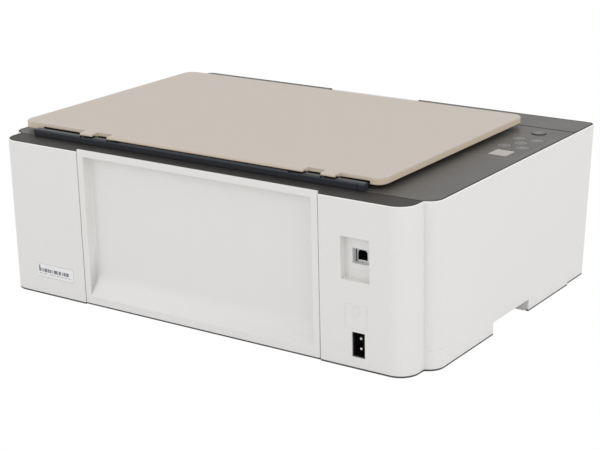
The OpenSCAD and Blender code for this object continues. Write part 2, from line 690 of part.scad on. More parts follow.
// ---- control panel ----
board_x0 = keys_x - 21;
board_x1 = keys_x + 18;
board_y0 = power_y - 9;
board_y1 = lcd_y + 13;
switch_h = 4.2;
flange_t = 1;
flange_z = deck_z - 0.3 - flange_t;
stem_z = board_z + board_t + switch_h + key_travel + 0.1;

module button_board() color("#3f6b45") {
  block([board_x0, board_y0, board_z], [board_x1, board_y1, board_z + board_t]);
  for (p = concat(key_spots, [[power_x - keys_x, -power_dy]]))
    block([keys_x + p[0] - 2, keys_y + p[1] - 2, board_z + board_t - eps],
      [keys_x + p[0] + 2, keys_y + p[1] + 2, board_z + board_t + switch_h]);
  rod_z(light_x, light_y, board_z + board_t - eps, top_z - 0.05, light_r);
}
module display() color("#b9b6ac")
  block([lcd_x - display_w/2, lcd_y - display_d/2, board_z + board_t + 0.1],
    [lcd_x + display_w/2, lcd_y + display_d/2, top_z - 0.1]);
module button(x, y, up) color("#74716d") {
  rod_z(x, y, flange_z, top_z + up, key_r);
  rod_z(x, y, flange_z, flange_z + flange_t, key_r + 1.2);
  rod_z(x, y, stem_z, flange_z + eps, 1.8);
}
module power_button() button(power_x, power_y, power_up);
module info_button() button(keys_x, keys_y, 0);
module cancel_button() button(keys_x + key_spots[1][0], keys_y + key_spots[1][1], 0);
module wireless_button() button(keys_x + key_spots[2][0], keys_y + key_spots[2][1], 0);
module resume_button() button(keys_x + key_spots[3][0], keys_y + key_spots[3][1], 0);
module copy_button() button(keys_x + key_spots[4][0], keys_y + key_spots[4][1], 0);

// ---- rear tray ----
tray_face = hd - tray_t;
tray_inner_top = deck_z - 0.9;
groove_z = top_z - 34;
groove_h = 4;
groove_d = 2.4;
guide_fin_t = 1.8;
guide_slide_w = 13;
guide_foot_h = 8;
guide_x = tray_x1 - guide_in;
guide_z1 = deck_z - 5.5;

module rear_tray() color("whitesmoke") difference() {
  union() {
    along_x(tray_x0, tray_x1) polygon([[tray_face, tray_z0 + tray_cut], [tray_face + tray_cut, tray_z0],
      [hd, tray_z0], [hd, tray_inner_top], [tray_face, tray_inner_top]]);
    block([tray_x0, hd - lip_t, tray_z0 + 1], [tray_x1, hd, top_z + tray_lip]);
    rod_x(tray_x0 - 2.4, tray_x1 + 2.4, tray_pin_y, tray_pin_z, tray_pin_r);
  }
  block([tray_x0 + dish_rim, hd - dish_d, tray_z0 + dish_low],
    [tray_x1 - dish_rim, hd + 1, top_z + tray_lip - dish_top]);
  block([guide_x - guide_slide_w - 1 - guide_travel, tray_face - 1, groove_z],
    [tray_x1 - 3, tray_face + groove_d, groove_z + groove_h]);
}
module paper_guide() color("#8c8a86") {
  block([guide_x - guide_slide_w - 1, tray_face - 0.3 - guide_fin_t, guide_z1 - guide_h + guide_foot_h],
    [guide_x, tray_face - 0.3, guide_z1 - 6]);
  block([guide_x - guide_fin_t, path_wall_y + 0.8, guide_z1 - guide_h], [guide_x, tray_face - 0.3, guide_z1]);
  block([guide_x - guide_slide_w, tray_face - 1, groove_z + 0.3], [guide_x - 1, tray_face + groove_d - 0.3,
    groove_z + groove_h - 0.3]);
}

// ---- paper path at the rear ----
feed_z = paper_z - feed_r;
exit_z = paper_z - exit_r;
exit_span = gear_m*(feed_teeth + 2*exit_idler_teeth + exit_teeth)/2;
exit_drop_a = asin((exit_z - feed_z)/exit_span);
exit_y = feed_y - exit_span*cos(exit_drop_a);
idler_y = feed_y - gear_m*(feed_teeth + exit_idler_teeth)/2*cos(exit_drop_a);
idler_z = feed_z + gear_m*(feed_teeth + exit_idler_teeth)/2*sin(exit_drop_a);
pinion_a = 100;
pinion_y = feed_y + gear_m*(feed_teeth + pinion_teeth)/2*cos(pinion_a);
pinion_z = feed_z + gear_m*(feed_teeth + pinion_teeth)/2*sin(pinion_a);
pick_idler_y = pinion_y + gear_m*(pinion_teeth + pick_idler_teeth)/2;
pick_y = pick_idler_y + gear_m*(pick_idler_teeth + pick_teeth)/2;
pick_z = pinion_z;
ramp_gap = 1.2;
ramp_t = 3;
ramp_y0 = feed_y + feed_r + 2;
path_mid = (path_x0 + path_x1)/2;
path_wall_y = tray_face - slot_d;
plate_y = tray_face - 3;
plate_pin_z = pick_z + 21;
plate_pin_r = 1.3;
pick_shaft_r = 3;
pick_half_w = 15;
bearing_x = path_mid + pick_half_w + 3;
pad_half_w = 11;
plate_half_w = 56;

module ramp_profile() polygon(concat(
  [[ramp_y0, paper_z - 0.7], [ramp_y0, paper_z - 0.7 - ramp_t]],
  arc(pick_y, pick_z, pick_r + ramp_gap + ramp_t, -90, -34, 10),
  arc(pick_y, pick_z, pick_r + ramp_gap, -30, -90, 12)));
module pad_profile(grow) polygon(concat(
  arc(pick_y, pick_z, pick_r + ramp_gap + 1.6 + grow, -66 - 4*grow, -42 + 4*grow, 6),
  arc(pick_y, pick_z, pick_r + ramp_gap - 0.5, -42 + 4*grow, -66 - 4*grow, 6)));
module paper_chute() color("#6a6865") difference() {
  union() {
    along_x(path_x0, path_x1) ramp_profile();
    for (x = [path_x0, path_x1 - 2]) {
      block([x, ramp_y0 + 28, floor_z + 0.1], [x + 2, plate_y + 1.5, scan_z0 - 2.5]);
      block([x, path_wall_y - chute_t, scan_z0 - 3], [x + 2, plate_y + 1.5, deck_z - seat_gap]);
    }
    block([path_x0, path_wall_y - chute_t, plate_pin_z + 1], [path_x1, path_wall_y, deck_z - seat_gap]);
    block([bearing_x, pick_y - 7, pick_z - 8], [bearing_x + 3, path_wall_y, plate_pin_z + 3]);
  }
  rod_x(path_x0 - 1, bearing_x - 2, pick_y, pick_z, pick_shaft_r + 0.4);
  rod_x(bearing_x - 1, bearing_x + 4, pick_y, pick_z, pick_shaft_r + run_gap);
  rod_x(path_x0 - 1, path_x1 + 1, plate_y - 0.1, plate_pin_z, plate_pin_r + run_gap);
  along_x(path_mid - pad_half_w - 0.1, path_mid + pad_half_w + 0.1) pad_profile(0.1);
}
module separation_pad() color("#8a4b32")
  along_x(path_mid - pad_half_w, path_mid + pad_half_w) pad_profile(0);
module pressure_plate() color("#9a9894") {
  block([path_mid - plate_half_w, plate_y - 1.7, pick_z - 5], [path_mid + plate_half_w, plate_y,
    plate_pin_z + 1]);
  rod_x(path_x0 + 0.3, path_x1 - 0.3, plate_y - 0.1, plate_pin_z, plate_pin_r);
}

// ---- front flaps ----
flap_x0 = front_x0 + 0.6;
flap_x1 = front_x1 - 0.6;
base_front_y = front_y(foot_h) + 8;
tray_front_z0 = foot_h + 1.7;
ext_z0 = toe_z + 3;
ext_z1 = flap_split - 5;
ext_t = 2;
ext_off = flap_t + 0.6;
sill_h = 6;
sill_d = 21;
grip_half_w = 20;
grip_drop = 0.9;

// strip of a flap between two heights and two distances behind its face
module flap_strip(z0, z1, o0, o1) polygon(concat(
  [[front_y(z0) + o0, z0]], z0 < toe_z ? [[front_y(toe_z) + o0, toe_z]] : [],
  [[front_y(z1) + o0, z1], [front_y(z1) + o1, z1]],
  z0 < toe_z ? [[front_y(toe_z) + o1, toe_z]] : [], [[front_y(z0) + o1, z0]]));
module output_tray() color("whitesmoke") {
  along_x(flap_x0, flap_x1) flap_strip(tray_front_z0, flap_split - 0.6, 0, flap_t);
  along_x(flap_x0, flap_x1) intersection() {
    translate([flap_pin_y, flap_pin_z]) circle(r = 3);
    flap_strip(tray_front_z0, flap_split, 1, 8);
  }
  rod_x(flap_x0 - 3, flap_x1 + 3, flap_pin_y, flap_pin_z, flap_pin_r);
  for (x = [notch_x - ext_w/2 - 2.6, notch_x + ext_w/2 + 0.6])
    along_x(x, x + 2) flap_strip(ext_z0, ext_z1, 1, flap_t + 3.4);
}
module output_extension() color("#8c8a86") {
  along_x(notch_x - ext_w/2, notch_x + ext_w/2) flap_strip(ext_z0, ext_z1, ext_off, ext_off + ext_t);
  along_x(notch_x - grip_half_w, notch_x + grip_half_w)
    flap_strip(ext_z1 - 3.4, ext_z1 - 0.4, ext_off + 1, ext_off + ext_t + 3);
}
module cartridge_door() color("whitesmoke") {
  along_x(flap_x0, flap_x1) flap_strip(flap_split + 0.6, deck_z - 0.5, 0, flap_t);
  for (x = [[flap_x0 - 3, notch_x - ext_w/2 - 8], [notch_x + ext_w/2 + 8, flap_x1 + 3]])
    rod_x(x[0], x[1], door_pin_y, door_pin_z, flap_pin_r);
  along_x(notch_x - notch_w/2 + 0.5, notch_x + notch_w/2 - 0.5)
    flap_strip(deck_z - 3, top_z - grip_drop, 0, flap_t);
  block([notch_x - notch_w/2 + 0.5, front_y(deck_z) + 1, deck_z - 2.6],
    [notch_x + notch_w/2 - 0.5, -hd + notch_d - 0.6, top_z - grip_drop]);
}

// ---- print mechanism ----
chassis_x0 = -hw + chassis_in;
chassis_x1 = hw - hold_in - hold_wall - 0.4;
plate_x0 = chassis_x0 + plate_t;
plate_x1 = chassis_x1 - plate_t;
chassis_end = 10;
chassis_y0 = exit_y - chassis_end;
chassis_y1 = pick_y + 12;
chassis_z1 = scan_z0 - 3.5;
feed_shaft_r = 4;
exit_shaft_r = 3;
idler_axle_r = 2;
rod_y0 = feed_y + 8;
rod_z0 = paper_z + 30;
rail_y = rod_y0 + 16;
rail_z0 = paper_z + 8;
rail_top_d = 10;
belt_z = paper_z + 54;
motor_y = rail_y + plate_t + 0.2;
belt_y = rail_y - 5;
pulley_w = 3.6;
motor_r = motor_d/2;
motor_nose = 2;
motor_bore_l = 14;
strip_up = 34;
strip_h = 5;
supply_h = 40;
drive_x = chassis_x0 + 16.5;
idle_x = chassis_x1 - 13.5;
pinch_z = feed_z + feed_r + pinch_r + 0.15;
pinch_axle_r = 1.5;
star_z = exit_z + exit_r + star_r + 0.2;
star_axle_r = 1;
gear_a_x = chassis_x0 - 1 - gear_w;
gear_b_x = gear_a_x - gear_w - 0.6;
gear_plate_x = gear_b_x - 2.6;
post_r = 2;
posts = [[exit_y + 2, feed_z + 26], [pick_y + 8, pick_z + 24], [pick_idler_y, pick_z + 26]];
board_stand = [[tray_face - 50, usb_z - 10], [tray_face - 7.5, usb_z - 10], [tray_face - 50, usb_z + 13],
  [tray_face - 7.5, usb_z + 13]];
usb_body_w = 10.2;
main_board_t = 1.6;
main_board_x = usb_x - usb_body_w/2 - main_board_t - 0.1;
usb_body_h = 12.4;
usb_plate_w = 18.2;
usb_plate_t = 1;
usb_body_d = 16;
lug_spots = [path_x0 + 14, path_mid - 34, path_mid + 31, path_x1 - 17];

module chassis_side(x) {
  difference() {
    block([x, chassis_y0, floor_z + 0.1], [x + plate_t, chassis_y1, chassis_z1]);
    rod_x(x - 1, x + 3, feed_y, feed_z, feed_shaft_r + run_gap);
    rod_x(x - 1, x + 3, exit_y, exit_z, exit_shaft_r + run_gap);
    rod_x(x - 1, x + 3, rod_y0, rod_z0, rod_r + 0.02);
    rod_x(x - 1, x + 3, pick_y, pick_z, pick_shaft_r + run_gap);
  }
}
module print_chassis() color("#9c9fa1") {
  chassis_side(chassis_x0);
  chassis_side(plate_x1);
  difference() {
    union() {
      block([plate_x0 - eps, exit_y - 4, star_z + star_r + 0.6], [plate_x1 + eps, exit_y + 4,
        star_z + star_r + 4]);
      for (x = lug_spots) block([x, exit_y - 2.5, star_z - 2.2], [x + 3, exit_y + 2.5, star_z + star_r + 1]);
    }
    rod_x(plate_x0 + 1, plate_x1 - 1, exit_y, star_z, star_axle_r + run_gap);
  }
  rod_x(gear_a_x - 0.6, chassis_x0 + eps, idler_y, idler_z, idler_axle_r);
  rod_x(gear_b_x - 0.6, chassis_x0 + eps, pick_idler_y, pick_z, idler_axle_r);
  difference() {
    union() {
      block([gear_plate_x, exit_y - 2, feed_z + 8], [gear_plate_x + plate_t, pick_y + 12, pick_z + 28]);
      for (p = posts) rod_x(gear_plate_x + eps, chassis_x0 + eps, p[0], p[1], post_r);
    }
    rod_x(gear_plate_x - 1, gear_plate_x + 3, pinion_y, pinion_z, 3);
    rod_x(gear_plate_x - 1, gear_plate_x + 3, feed_y, feed_z, feed_teeth*gear_m/2 + 2);
  }
  for (p = board_stand) rod_x(main_board_x + main_board_t + 0.1, chassis_x0 + eps, p[0], p[1], 2.2);
}
module carriage_rail() color("#b4b8ba") difference() {
  union() {
    block([plate_x0 + 0.2, rail_y, rail_z0], [plate_x1 - 0.2, rail_y + plate_t, chassis_z1 - 2]);
    block([plate_x0 + 0.2, rail_y - rail_top_d, chassis_z1 - 2 - plate_t], [plate_x1 - 0.2, rail_y + eps,
      chassis_z1 - 2]);
    for (x = lug_spots) along_x(x, x + 3) polygon([[rail_y + eps, rail_z0], [rail_y + eps, rail_z0 + 8],
      [feed_y - 3, pinch_z + 2.6], [feed_y - 3, pinch_z - 2.4], [feed_y + 3, pinch_z - 2.4]]);
    rod_y(idle_x, belt_y - 1.8, rail_y + eps, belt_z, pinch_axle_r);
  }
  rod_x(plate_x0, plate_x1, feed_y, pinch_z, pinch_axle_r + run_gap);
  rod_y(drive_x, rail_y - 1, rail_y + 3, belt_z, 3);
}
module carriage_rod() color("silver") rod_x(chassis_x0 + 0.2, chassis_x1 - 0.2, rod_y0, rod_z0, rod_r);
module pulley(x, bore) {
  difference() {
    union() {
      rod_y(x, belt_y - pulley_w/2, belt_y + pulley_w/2, belt_z, pulley_r);
      rod_y(x, belt_y + pulley_w/2, belt_y + pulley_w/2 + 0.8, belt_z, pulley_r + 1.6);
    }
    rod_y(x, belt_y - 5, belt_y + 5, belt_z, bore);
  }
}
module carriage_pulley() color("#d8d6d0") {
  pulley(drive_x, 0.5);
  rod_y(drive_x, belt_y - pulley_w/2, motor_y + motor_bore_l - 2, belt_z, pinch_axle_r);
}
module idler_pulley() color("#d8d6d0") pulley(idle_x, pinch_axle_r + run_gap);
module belt_loop(r) {
  rod_y(drive_x, belt_y - pulley_w/2 + 0.3, belt_y + pulley_w/2 - 0.3, belt_z, r);
  rod_y(idle_x, belt_y - pulley_w/2 + 0.3, belt_y + pulley_w/2 - 0.3, belt_z, r);
  block([drive_x, belt_y - pulley_w/2 + 0.3, belt_z - r], [idle_x, belt_y + pulley_w/2 - 0.3, belt_z + r]);
}
module carriage_belt() color("#222222") difference() {
  belt_loop(pulley_r + 0.1 + belt_t);
  union() {
    rod_y(drive_x, belt_y - 9, belt_y + 9, belt_z, pulley_r + 0.1);
    rod_y(idle_x, belt_y - 9, belt_y + 9, belt_z, pulley_r + 0.1);
    block([drive_x, belt_y - 9, belt_z - pulley_r - 0.1], [idle_x, belt_y + 9, belt_z + pulley_r + 0.1]);
  }
}
module carriage_motor() color("#8f9396") difference() {
  union() {
    rod_y(drive_x, motor_y, motor_y + motor_len, belt_z, motor_r);
    rod_y(drive_x, motor_y + motor_len - eps, motor_y + motor_len + motor_nose, belt_z, 4);
  }
  rod_y(drive_x, rail_y, motor_y + motor_bore_l, belt_z, pinch_axle_r + run_gap);
}
module encoder_strip() color("#d9d9d6")
  block([plate_x0 + 0.2, rod_y0 + 8.5, rod_z0 + strip_up], [plate_x1 - 0.2, rod_y0 + 9,
    rod_z0 + strip_up + strip_h]);

// ---- print carriage and cartridges, drawn where they park ----
cup_y0 = exit_y + 12;
cup_y1 = rod_y0 - 14;
cup_z0 = paper_z + 4;
cup_z1 = rod_z0 + 34;
cup_wall = 2;
slider_drop = 11;
slot_gap = 0.4;
nozzle_z = paper_z + 1.6;
slot_w = carriage_w/2 - 1.5*cup_wall;

module carriage_slider() color("#3c3c3e") translate([park_x, 0, 0]) difference() {
  union() {
    block([-carriage_w/2, cup_y1 + seat_gap, rod_z0 - slider_drop], [carriage_w/2, rod_y0 + 8, cup_z1]);
    block([-10, rod_y0 + 2, cup_z1 - eps], [10, rod_y0 + 7.6, chassis_z1 - 2 - plate_t - 0.3]);
    block([-6, rod_y0 + 8 - eps, belt_z - pulley_r - 4], [6, belt_y + 2.4, belt_z - pulley_r + 2.6]);
  }
  rod_x(-carriage_w, carriage_w, rod_y0, rod_z0, rod_r + run_gap);
  block([-7, belt_y - pulley_w/2 - 0.2, belt_z - pulley_r - belt_t - 0.5], [7, belt_y + 5,
    belt_z - pulley_r + 0.3]);
}
module print_carriage() color("#4b4b4d") translate([park_x, 0, 0]) difference() {
  block([-carriage_w/2, cup_y0, cup_z0], [carriage_w/2, cup_y1, cup_z1]);
  for (s = [-1, 1]) translate([s*(slot_w + cup_wall)/2, 0, 0]) {
    block([-slot_w/2, cup_y0 + cup_wall, cup_z0 + cup_wall], [slot_w/2, cup_y1 - cup_wall, cup_z1 + 1]);
    block([-8.5, cup_y0 + 8, cup_z0 - 1], [8.5, cup_y1 - 8, cup_z0 + 4]);
    block([-slot_w/2 + 3, cup_y0 - 1, cup_z1 - 18], [slot_w/2 - 3, cup_y0 + 4, cup_z1 + 1]);
  }
}
module cartridge(s) translate([park_x + s*(slot_w + cup_wall)/2, 0, 0]) {
  block([-slot_w/2 + slot_gap, cup_y0 + cup_wall + slot_gap, cup_z0 + cup_wall + 0.3],
    [slot_w/2 - slot_gap, cup_y1 - cup_wall - slot_gap, cup_z1 - 6]);
  block([-7.9, cup_y0 + 8.6, nozzle_z], [7.9, cup_y1 - 8.6, cup_z0 + cup_wall + 1]);
  block([-slot_w/2 + 4, cup_y0 - 2.5, cup_z1 - 14], [slot_w/2 - 4, cup_y0 + 4, cup_z1 - 9]);
}
module black_cartridge() color("#26262a") cartridge(-1);
module colour_cartridge() color("#3a5f8a") cartridge(1);

// ---- rollers and gears ----
// gear outline with straight flanks, first tooth on the first axis
module gear_outline(n) {
  p = 360/n;
  r = gear_m*n/2;
  polygon([for (i = [0:n - 1], q = [[-0.27, -1.25], [-0.11, 0.85], [0.11, 0.85], [0.27, -1.25]])
    [(r + q[1]*gear_m)*cos((i + q[0])*p), (r + q[1]*gear_m)*sin((i + q[0])*p)]]);
}
module gear(n, x, y, z, phase, bore, w) {
  translate([x, y, z]) rotate([90, 0, 90]) linear_extrude(w) difference() {
    rotate([0, 0, phase]) gear_outline(n);
    circle(r = bore);
  }
}
// phase that puts a gap of the second gear on a tooth of the first
function mesh(phase, n1, n2, a) = a + 180 - n1/n2*(phase - a) + 180/n2;
idler_a = 180 - exit_drop_a;
exit_idler_phase = mesh(0, feed_teeth, exit_idler_teeth, idler_a);
exit_phase = mesh(exit_idler_phase, exit_idler_teeth, exit_teeth, idler_a);
pinion_phase = mesh(0, feed_teeth, pinion_teeth, pinion_a);
pick_idler_phase = mesh(pinion_phase, pinion_teeth, pick_idler_teeth, 0);
pick_phase = mesh(pick_idler_phase, pick_idler_teeth, pick_teeth, 0);

module feed_roller() color("#5c5f62") {
  rod_x(gear_a_x - 0.4, chassis_x1 + 0.8, feed_y, feed_z, feed_shaft_r);
  rod_x(path_x0 + 3, path_x1 - 3, feed_y, feed_z, feed_r);
  gear(feed_teeth, gear_a_x, feed_y, feed_z, 0, feed_shaft_r - 0.5, gear_w);
}
module pinch_rollers() color("#3c3c3c") {
  rod_x(lug_spots[0] - 3, lug_spots[3] + 6, feed_y, pinch_z, pinch_axle_r);
  for (x = lug_spots, s = [-12, 5]) if (x + s > path_x0 && x + s + 10 < path_x1)
    rod_x(x + s, x + s + 10, feed_y, pinch_z, pinch_r);
}
module exit_roller() color("#46484a") {
  rod_x(gear_a_x - 0.4, chassis_x1 + 0.8, exit_y, exit_z, exit_shaft_r);
  for (x = lug_spots) rod_x(x - 8, x - 1, exit_y, exit_z, exit_r);
  gear(exit_teeth, gear_a_x, exit_y, exit_z, exit_phase, exit_shaft_r - 0.5, gear_w);
}
module star_wheels() color("silver") {
  rod_x(lug_spots[0] - 6, lug_spots[3] + 5, exit_y, star_z, star_axle_r);
  for (x = lug_spots, s = [-5, -3]) rod_x(x + s, x + s + 0.8, exit_y, star_z, star_r);
}
module pick_roller() color("#3b3b3b") {
  rod_x(gear_b_x - 0.4, bearing_x + 4, pick_y, pick_z, pick_shaft_r);
  rod_x(path_mid - pick_half_w, path_mid + pick_half_w, pick_y, pick_z, pick_r);
  gear(pick_teeth, gear_b_x, pick_y, pick_z, pick_phase, pick_shaft_r - 0.5, gear_w);
}
module exit_idler() color("#d8d6d0")
  gear(exit_idler_teeth, gear_a_x, idler_y, idler_z, exit_idler_phase, idler_axle_r + run_gap, gear_w);
module pick_idler() color("#d8d6d0")
  gear(pick_idler_teeth, gear_b_x, pick_idler_y, pick_z, pick_idler_phase, idler_axle_r + run_gap, gear_w);
module motor_pinion() color("#c9a24a") {
  gear(pinion_teeth, gear_b_x, pinion_y, pinion_z, pinion_phase, 1, gear_a_x + gear_w - gear_b_x);
  rod_x(gear_plate_x - 10, gear_a_x + gear_w, pinion_y, pinion_z, 1.2);
}
module feed_motor() color("#8f9396") difference() {
  rod_x(gear_plate_x - 0.1 - motor_len, gear_plate_x - 0.1, pinion_y, pinion_z, motor_r);
  rod_x(gear_plate_x - 12, gear_plate_x + 1, pinion_y, pinion_z, 1.2 + run_gap);
}
module platen() color("#3e3e40") {
  block([path_x0, cup_y0 + 1, paper_z - 4], [path_x1, feed_y - feed_r - 1.5, paper_z - 1.6]);
  for (i = [0:12]) block([path_x0 + i*(path_x1 - path_x0 - 1.2)/12, cup_y0 + 1, paper_z - 2],
    [path_x0 + i*(path_x1 - path_x0 - 1.2)/12 + 1.2, feed_y - feed_r - 1.5, paper_z - 0.5]);
  for (x = [path_x0, path_mid, path_x1 - 4], y = [cup_y0 + 1, feed_y - feed_r - 5.5])
    block([x, y, floor_z + 0.1], [x + 4, y + 4, paper_z - 3]);
}

// ---- capping station and waste ink pad ----
sled_x0 = park_x - carriage_w/2 + 3;
sled_x1 = park_x + carriage_w/2 - 3;
sled_y0 = cup_y0 + 3;
sled_y1 = cup_y1 - 3;
sled_stand = 10;
sled_z0 = floor_z + sled_stand;
sled_drop = 4;
cap_half_w = 7;
cap_in = 9;

module cap_sled() color("#55565a") {
  block([sled_x0, sled_y0, sled_z0], [sled_x1, sled_y1, paper_z - 2]);
  for (s = [-1, 1]) translate([park_x + s*(slot_w + cup_wall)/2, 0, 0]) difference() {
    block([-cap_half_w, cup_y0 + cap_in, paper_z - 2 - eps], [cap_half_w, cup_y1 - cap_in, nozzle_z - 0.2]);
    block([-cap_half_w + 1.5, cup_y0 + cap_in + 1.5, paper_z - 1],
      [cap_half_w - 1.5, cup_y1 - cap_in - 1.5, nozzle_z]);
  }
}
module waste_pad() color("#d9d5c8")
  block([sled_x0 + 1, sled_y0 + 1, floor_z + 0.1], [sled_x1 - 1, sled_y1 - 1, sled_z0 - sled_drop - 0.4]);

// ---- power and electronics ----
supply_x1 = inlet_x - inlet_w/2 - 1.8;
usb_face_y = hd - usb_d - port_d - 0.3;
module power_supply() color("#2f3033")
  block([-hw + step_in + wall_t + 0.5, hd - screw_back + 8, floor_z + 0.2],
    [supply_x1, tray_face - 1, floor_z + supply_h]);
module power_inlet() {
  color("#111111") difference() {
    block([inlet_x - inlet_w/2 - inlet_wall, tray_face - 8, inlet_z - inlet_h/2 - inlet_wall],
      [inlet_x + inlet_w/2 + inlet_wall, hd - inlet_deep, inlet_z + inlet_h/2 + inlet_wall]);
    block([inlet_x - inlet_w/2, tray_face, inlet_z - inlet_h/2], [inlet_x + inlet_w/2, hd + 1,
      inlet_z + inlet_h/2]);
  }
  color("silver") for (s = [-1, 1]) rod_y(inlet_x, tray_face - 3, hd - 4, inlet_z + s*contact_pitch/2, 1.1);
}
module main_board() color("#3f6b45") {
  block([main_board_x, tray_face - 56, usb_z - 14], [main_board_x + main_board_t, tray_face - 1, usb_z + 17]);
  block([main_board_x + main_board_t - eps, tray_face - 44, usb_z - 2], [main_board_x + main_board_t + 1.6,
    tray_face - 28, usb_z + 14]);
}
module usb_socket() color("silver") difference() {
  union() {
    block([usb_x - usb_body_w/2, usb_face_y - usb_body_d, usb_z - usb_body_h/2],
      [usb_x + usb_body_w/2, usb_face_y, usb_z + usb_body_h/2]);
    block([usb_x + usb_body_w/2 - usb_plate_w, usb_face_y - usb_plate_t, usb_z - usb_body_h/2],
      [usb_x + usb_body_w/2, usb_face_y, port_z0 + port_h + 0.4]);
  }
  translate([usb_x, usb_face_y + 1, usb_z]) rotate([90, 0, 0]) linear_extrude(11)
    polygon([[-4.2, -4.1], [4.2, -4.1], [4.2, 2], [2.5, 3.7], [-2.5, 3.7], [-4.2, 2]]);
}

base_case();
rubber_feet();
case_screws();
main_shell();
rear_label();
scanner_top();
front_strip();
rear_strip();
scanner_tray();
scanner_glass();
scan_rod();
scan_head();
hinge_beam();
hinge_pins();
scanner_lid();
lid_backing();
display();
button_board();
power_button();
info_button();
cancel_button();
wireless_button();
resume_button();
copy_button();
rear_tray();
paper_guide();
pressure_plate();
paper_chute();
separation_pad();
cartridge_door();
output_tray();
output_extension();
print_chassis();
carriage_rail();
carriage_rod();
carriage_belt();
carriage_motor();
carriage_pulley();
idler_pulley();
encoder_strip();
print_carriage();
black_cartridge();
colour_cartridge();
platen();
feed_roller();
pinch_rollers();
exit_roller();
star_wheels();
pick_roller();
exit_idler();
pick_idler();
motor_pinion();
feed_motor();
cap_sled();
waste_pad();
power_supply();
power_inlet();
main_board();
usb_socket();
carriage_slider();
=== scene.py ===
import bpy, bmesh, json, math
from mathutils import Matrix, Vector


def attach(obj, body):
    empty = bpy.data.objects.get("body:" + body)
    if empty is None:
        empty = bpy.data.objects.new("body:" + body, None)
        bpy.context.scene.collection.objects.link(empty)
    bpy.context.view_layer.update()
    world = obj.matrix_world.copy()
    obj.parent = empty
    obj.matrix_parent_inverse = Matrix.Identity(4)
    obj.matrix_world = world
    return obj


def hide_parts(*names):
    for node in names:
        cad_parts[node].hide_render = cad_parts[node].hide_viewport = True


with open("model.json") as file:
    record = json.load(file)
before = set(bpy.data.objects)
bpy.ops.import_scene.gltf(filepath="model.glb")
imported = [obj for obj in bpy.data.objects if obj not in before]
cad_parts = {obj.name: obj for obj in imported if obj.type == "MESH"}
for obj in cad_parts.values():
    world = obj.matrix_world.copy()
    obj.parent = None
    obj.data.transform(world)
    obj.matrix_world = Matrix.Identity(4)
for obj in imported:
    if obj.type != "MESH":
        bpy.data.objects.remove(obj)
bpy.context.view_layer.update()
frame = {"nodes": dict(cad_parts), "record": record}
nodes = frame["nodes"]
bodyOf = {n: b for b, names in frame["record"]["behaviour"]["bodies"].items() for n in names}
slotOf = {s["node"]: s["material_slot"] for s in frame["record"]["subparts"]}
mm = 0.001
topFace = 135.3            # mm; what lies higher is the upper face of the plates and the keys
print("frame loaded:", len(nodes), "nodes")


def nodeBox(name):
    spots = [v.co for v in nodes[name].data.vertices]
    return [min(s[i] for s in spots) for i in range(3)], [max(s[i] for s in spots) for i in range(3)]


# ---- shader helpers: a socket that takes part in sums, and a material that makes nodes ----
class Term:
    def __init__(self, tree, sock):
        self.tree = tree
        self.sock = sock

    def join(self, operation, other=None, swapped=False):
        node = self.tree.nodes.new("ShaderNodeMath")
        node.operation = operation
        values = [self] if other is None else ([other, self] if swapped else [self, other])
        for i, value in enumerate(values):
            if isinstance(value, Term):
                self.tree.links.new(value.sock, node.inputs[i])
            else:
                node.inputs[i].default_value = value
        return Term(self.tree, node.outputs[0])

    def __add__(self, other):
        return self.join("ADD", other)

    def __radd__(self, other):
        return self.join("ADD", other, True)

    def __sub__(self, other):
        return self.join("SUBTRACT", other)

    def __rsub__(self, other):
        return self.join("SUBTRACT", other, True)

    def __mul__(self, other):
        return self.join("MULTIPLY", other)

    def __rmul__(self, other):
        return self.join("MULTIPLY", other, True)

    def __truediv__(self, other):
        return self.join("DIVIDE", other)

    def __gt__(self, other):
        return self.join("GREATER_THAN", other)

    def __lt__(self, other):
        return self.join("LESS_THAN", other)

    def __abs__(self):
        return self.join("ABSOLUTE")

    def root(self):
        return self.join("SQRT")


class Finish:
    def __init__(self, name, **sockets):
        self.material = bpy.data.materials.new(name)
        self.material.use_nodes = True
        self.tree = self.material.node_tree
        self.shader = self.tree.nodes["Principled BSDF"]
        self.put(self.shader, sockets)
        self.spot = None

    def put(self, node, values):
        for key, value in values.items():
            if isinstance(value, Term):
                self.tree.links.new(value.sock, node.inputs[key])
            else:
                node.inputs[key].default_value = value

    def node(self, kind, settings=None, sockets=None, out=0):
        made = self.tree.nodes.new("ShaderNode" + kind)
        for key, value in (settings or {}).items():
            if key == "stops":
                ramp = made.color_ramp
                while len(ramp.elements) < len(value):
                    ramp.elements.new(0.5)
                for element, (place, shade) in zip(ramp.elements, value):
                    element.position = place
                    element.color = shade
            else:
                setattr(made, key, value)
        self.put(made, sockets or {})
        return Term(self.tree, made.outputs[out])

    def where(self):
        if self.spot is None:
            self.spot = self.node("TexCoord", out=3)
        return self.spot

    def axes(self):
        made = self.tree.nodes.new("ShaderNodeSeparateXYZ")
        self.tree.links.new(self.where().sock, made.inputs[0])
        return [Term(self.tree, made.outputs[i]) for i in range(3)]

    def noise(self, size, detail=2.0, rough=0.5):
        return self.node("TexNoise", {"noise_dimensions": "3D"},
                         {"Vector": self.where(), "Scale": 1 / size, "Detail": detail, "Roughness": rough})

    def blendColours(self, mask, first, second):
        return self.node("Mix", {"data_type": "RGBA"}, {"Factor": mask, 6: first, 7: second}, out=2)

    def bump(self, height, distance, strength=1.0, normal=None):
        sockets = {"Height": height, "Distance": distance, "Strength": strength}
        if normal is not None:
            sockets["Normal"] = normal
        return self.node("Bump", None, sockets)

    def use(self, **sockets):
        self.put(self.shader, {key.replace("_", " "): value for key, value in sockets.items()})
        return self


def shade(red, green, blue):
    parts = [((v / 255 + 0.055) / 1.055) ** 2.4 if v > 10 else v / 3294.6 for v in (red, green, blue)]
    return tuple(parts) + (1,)


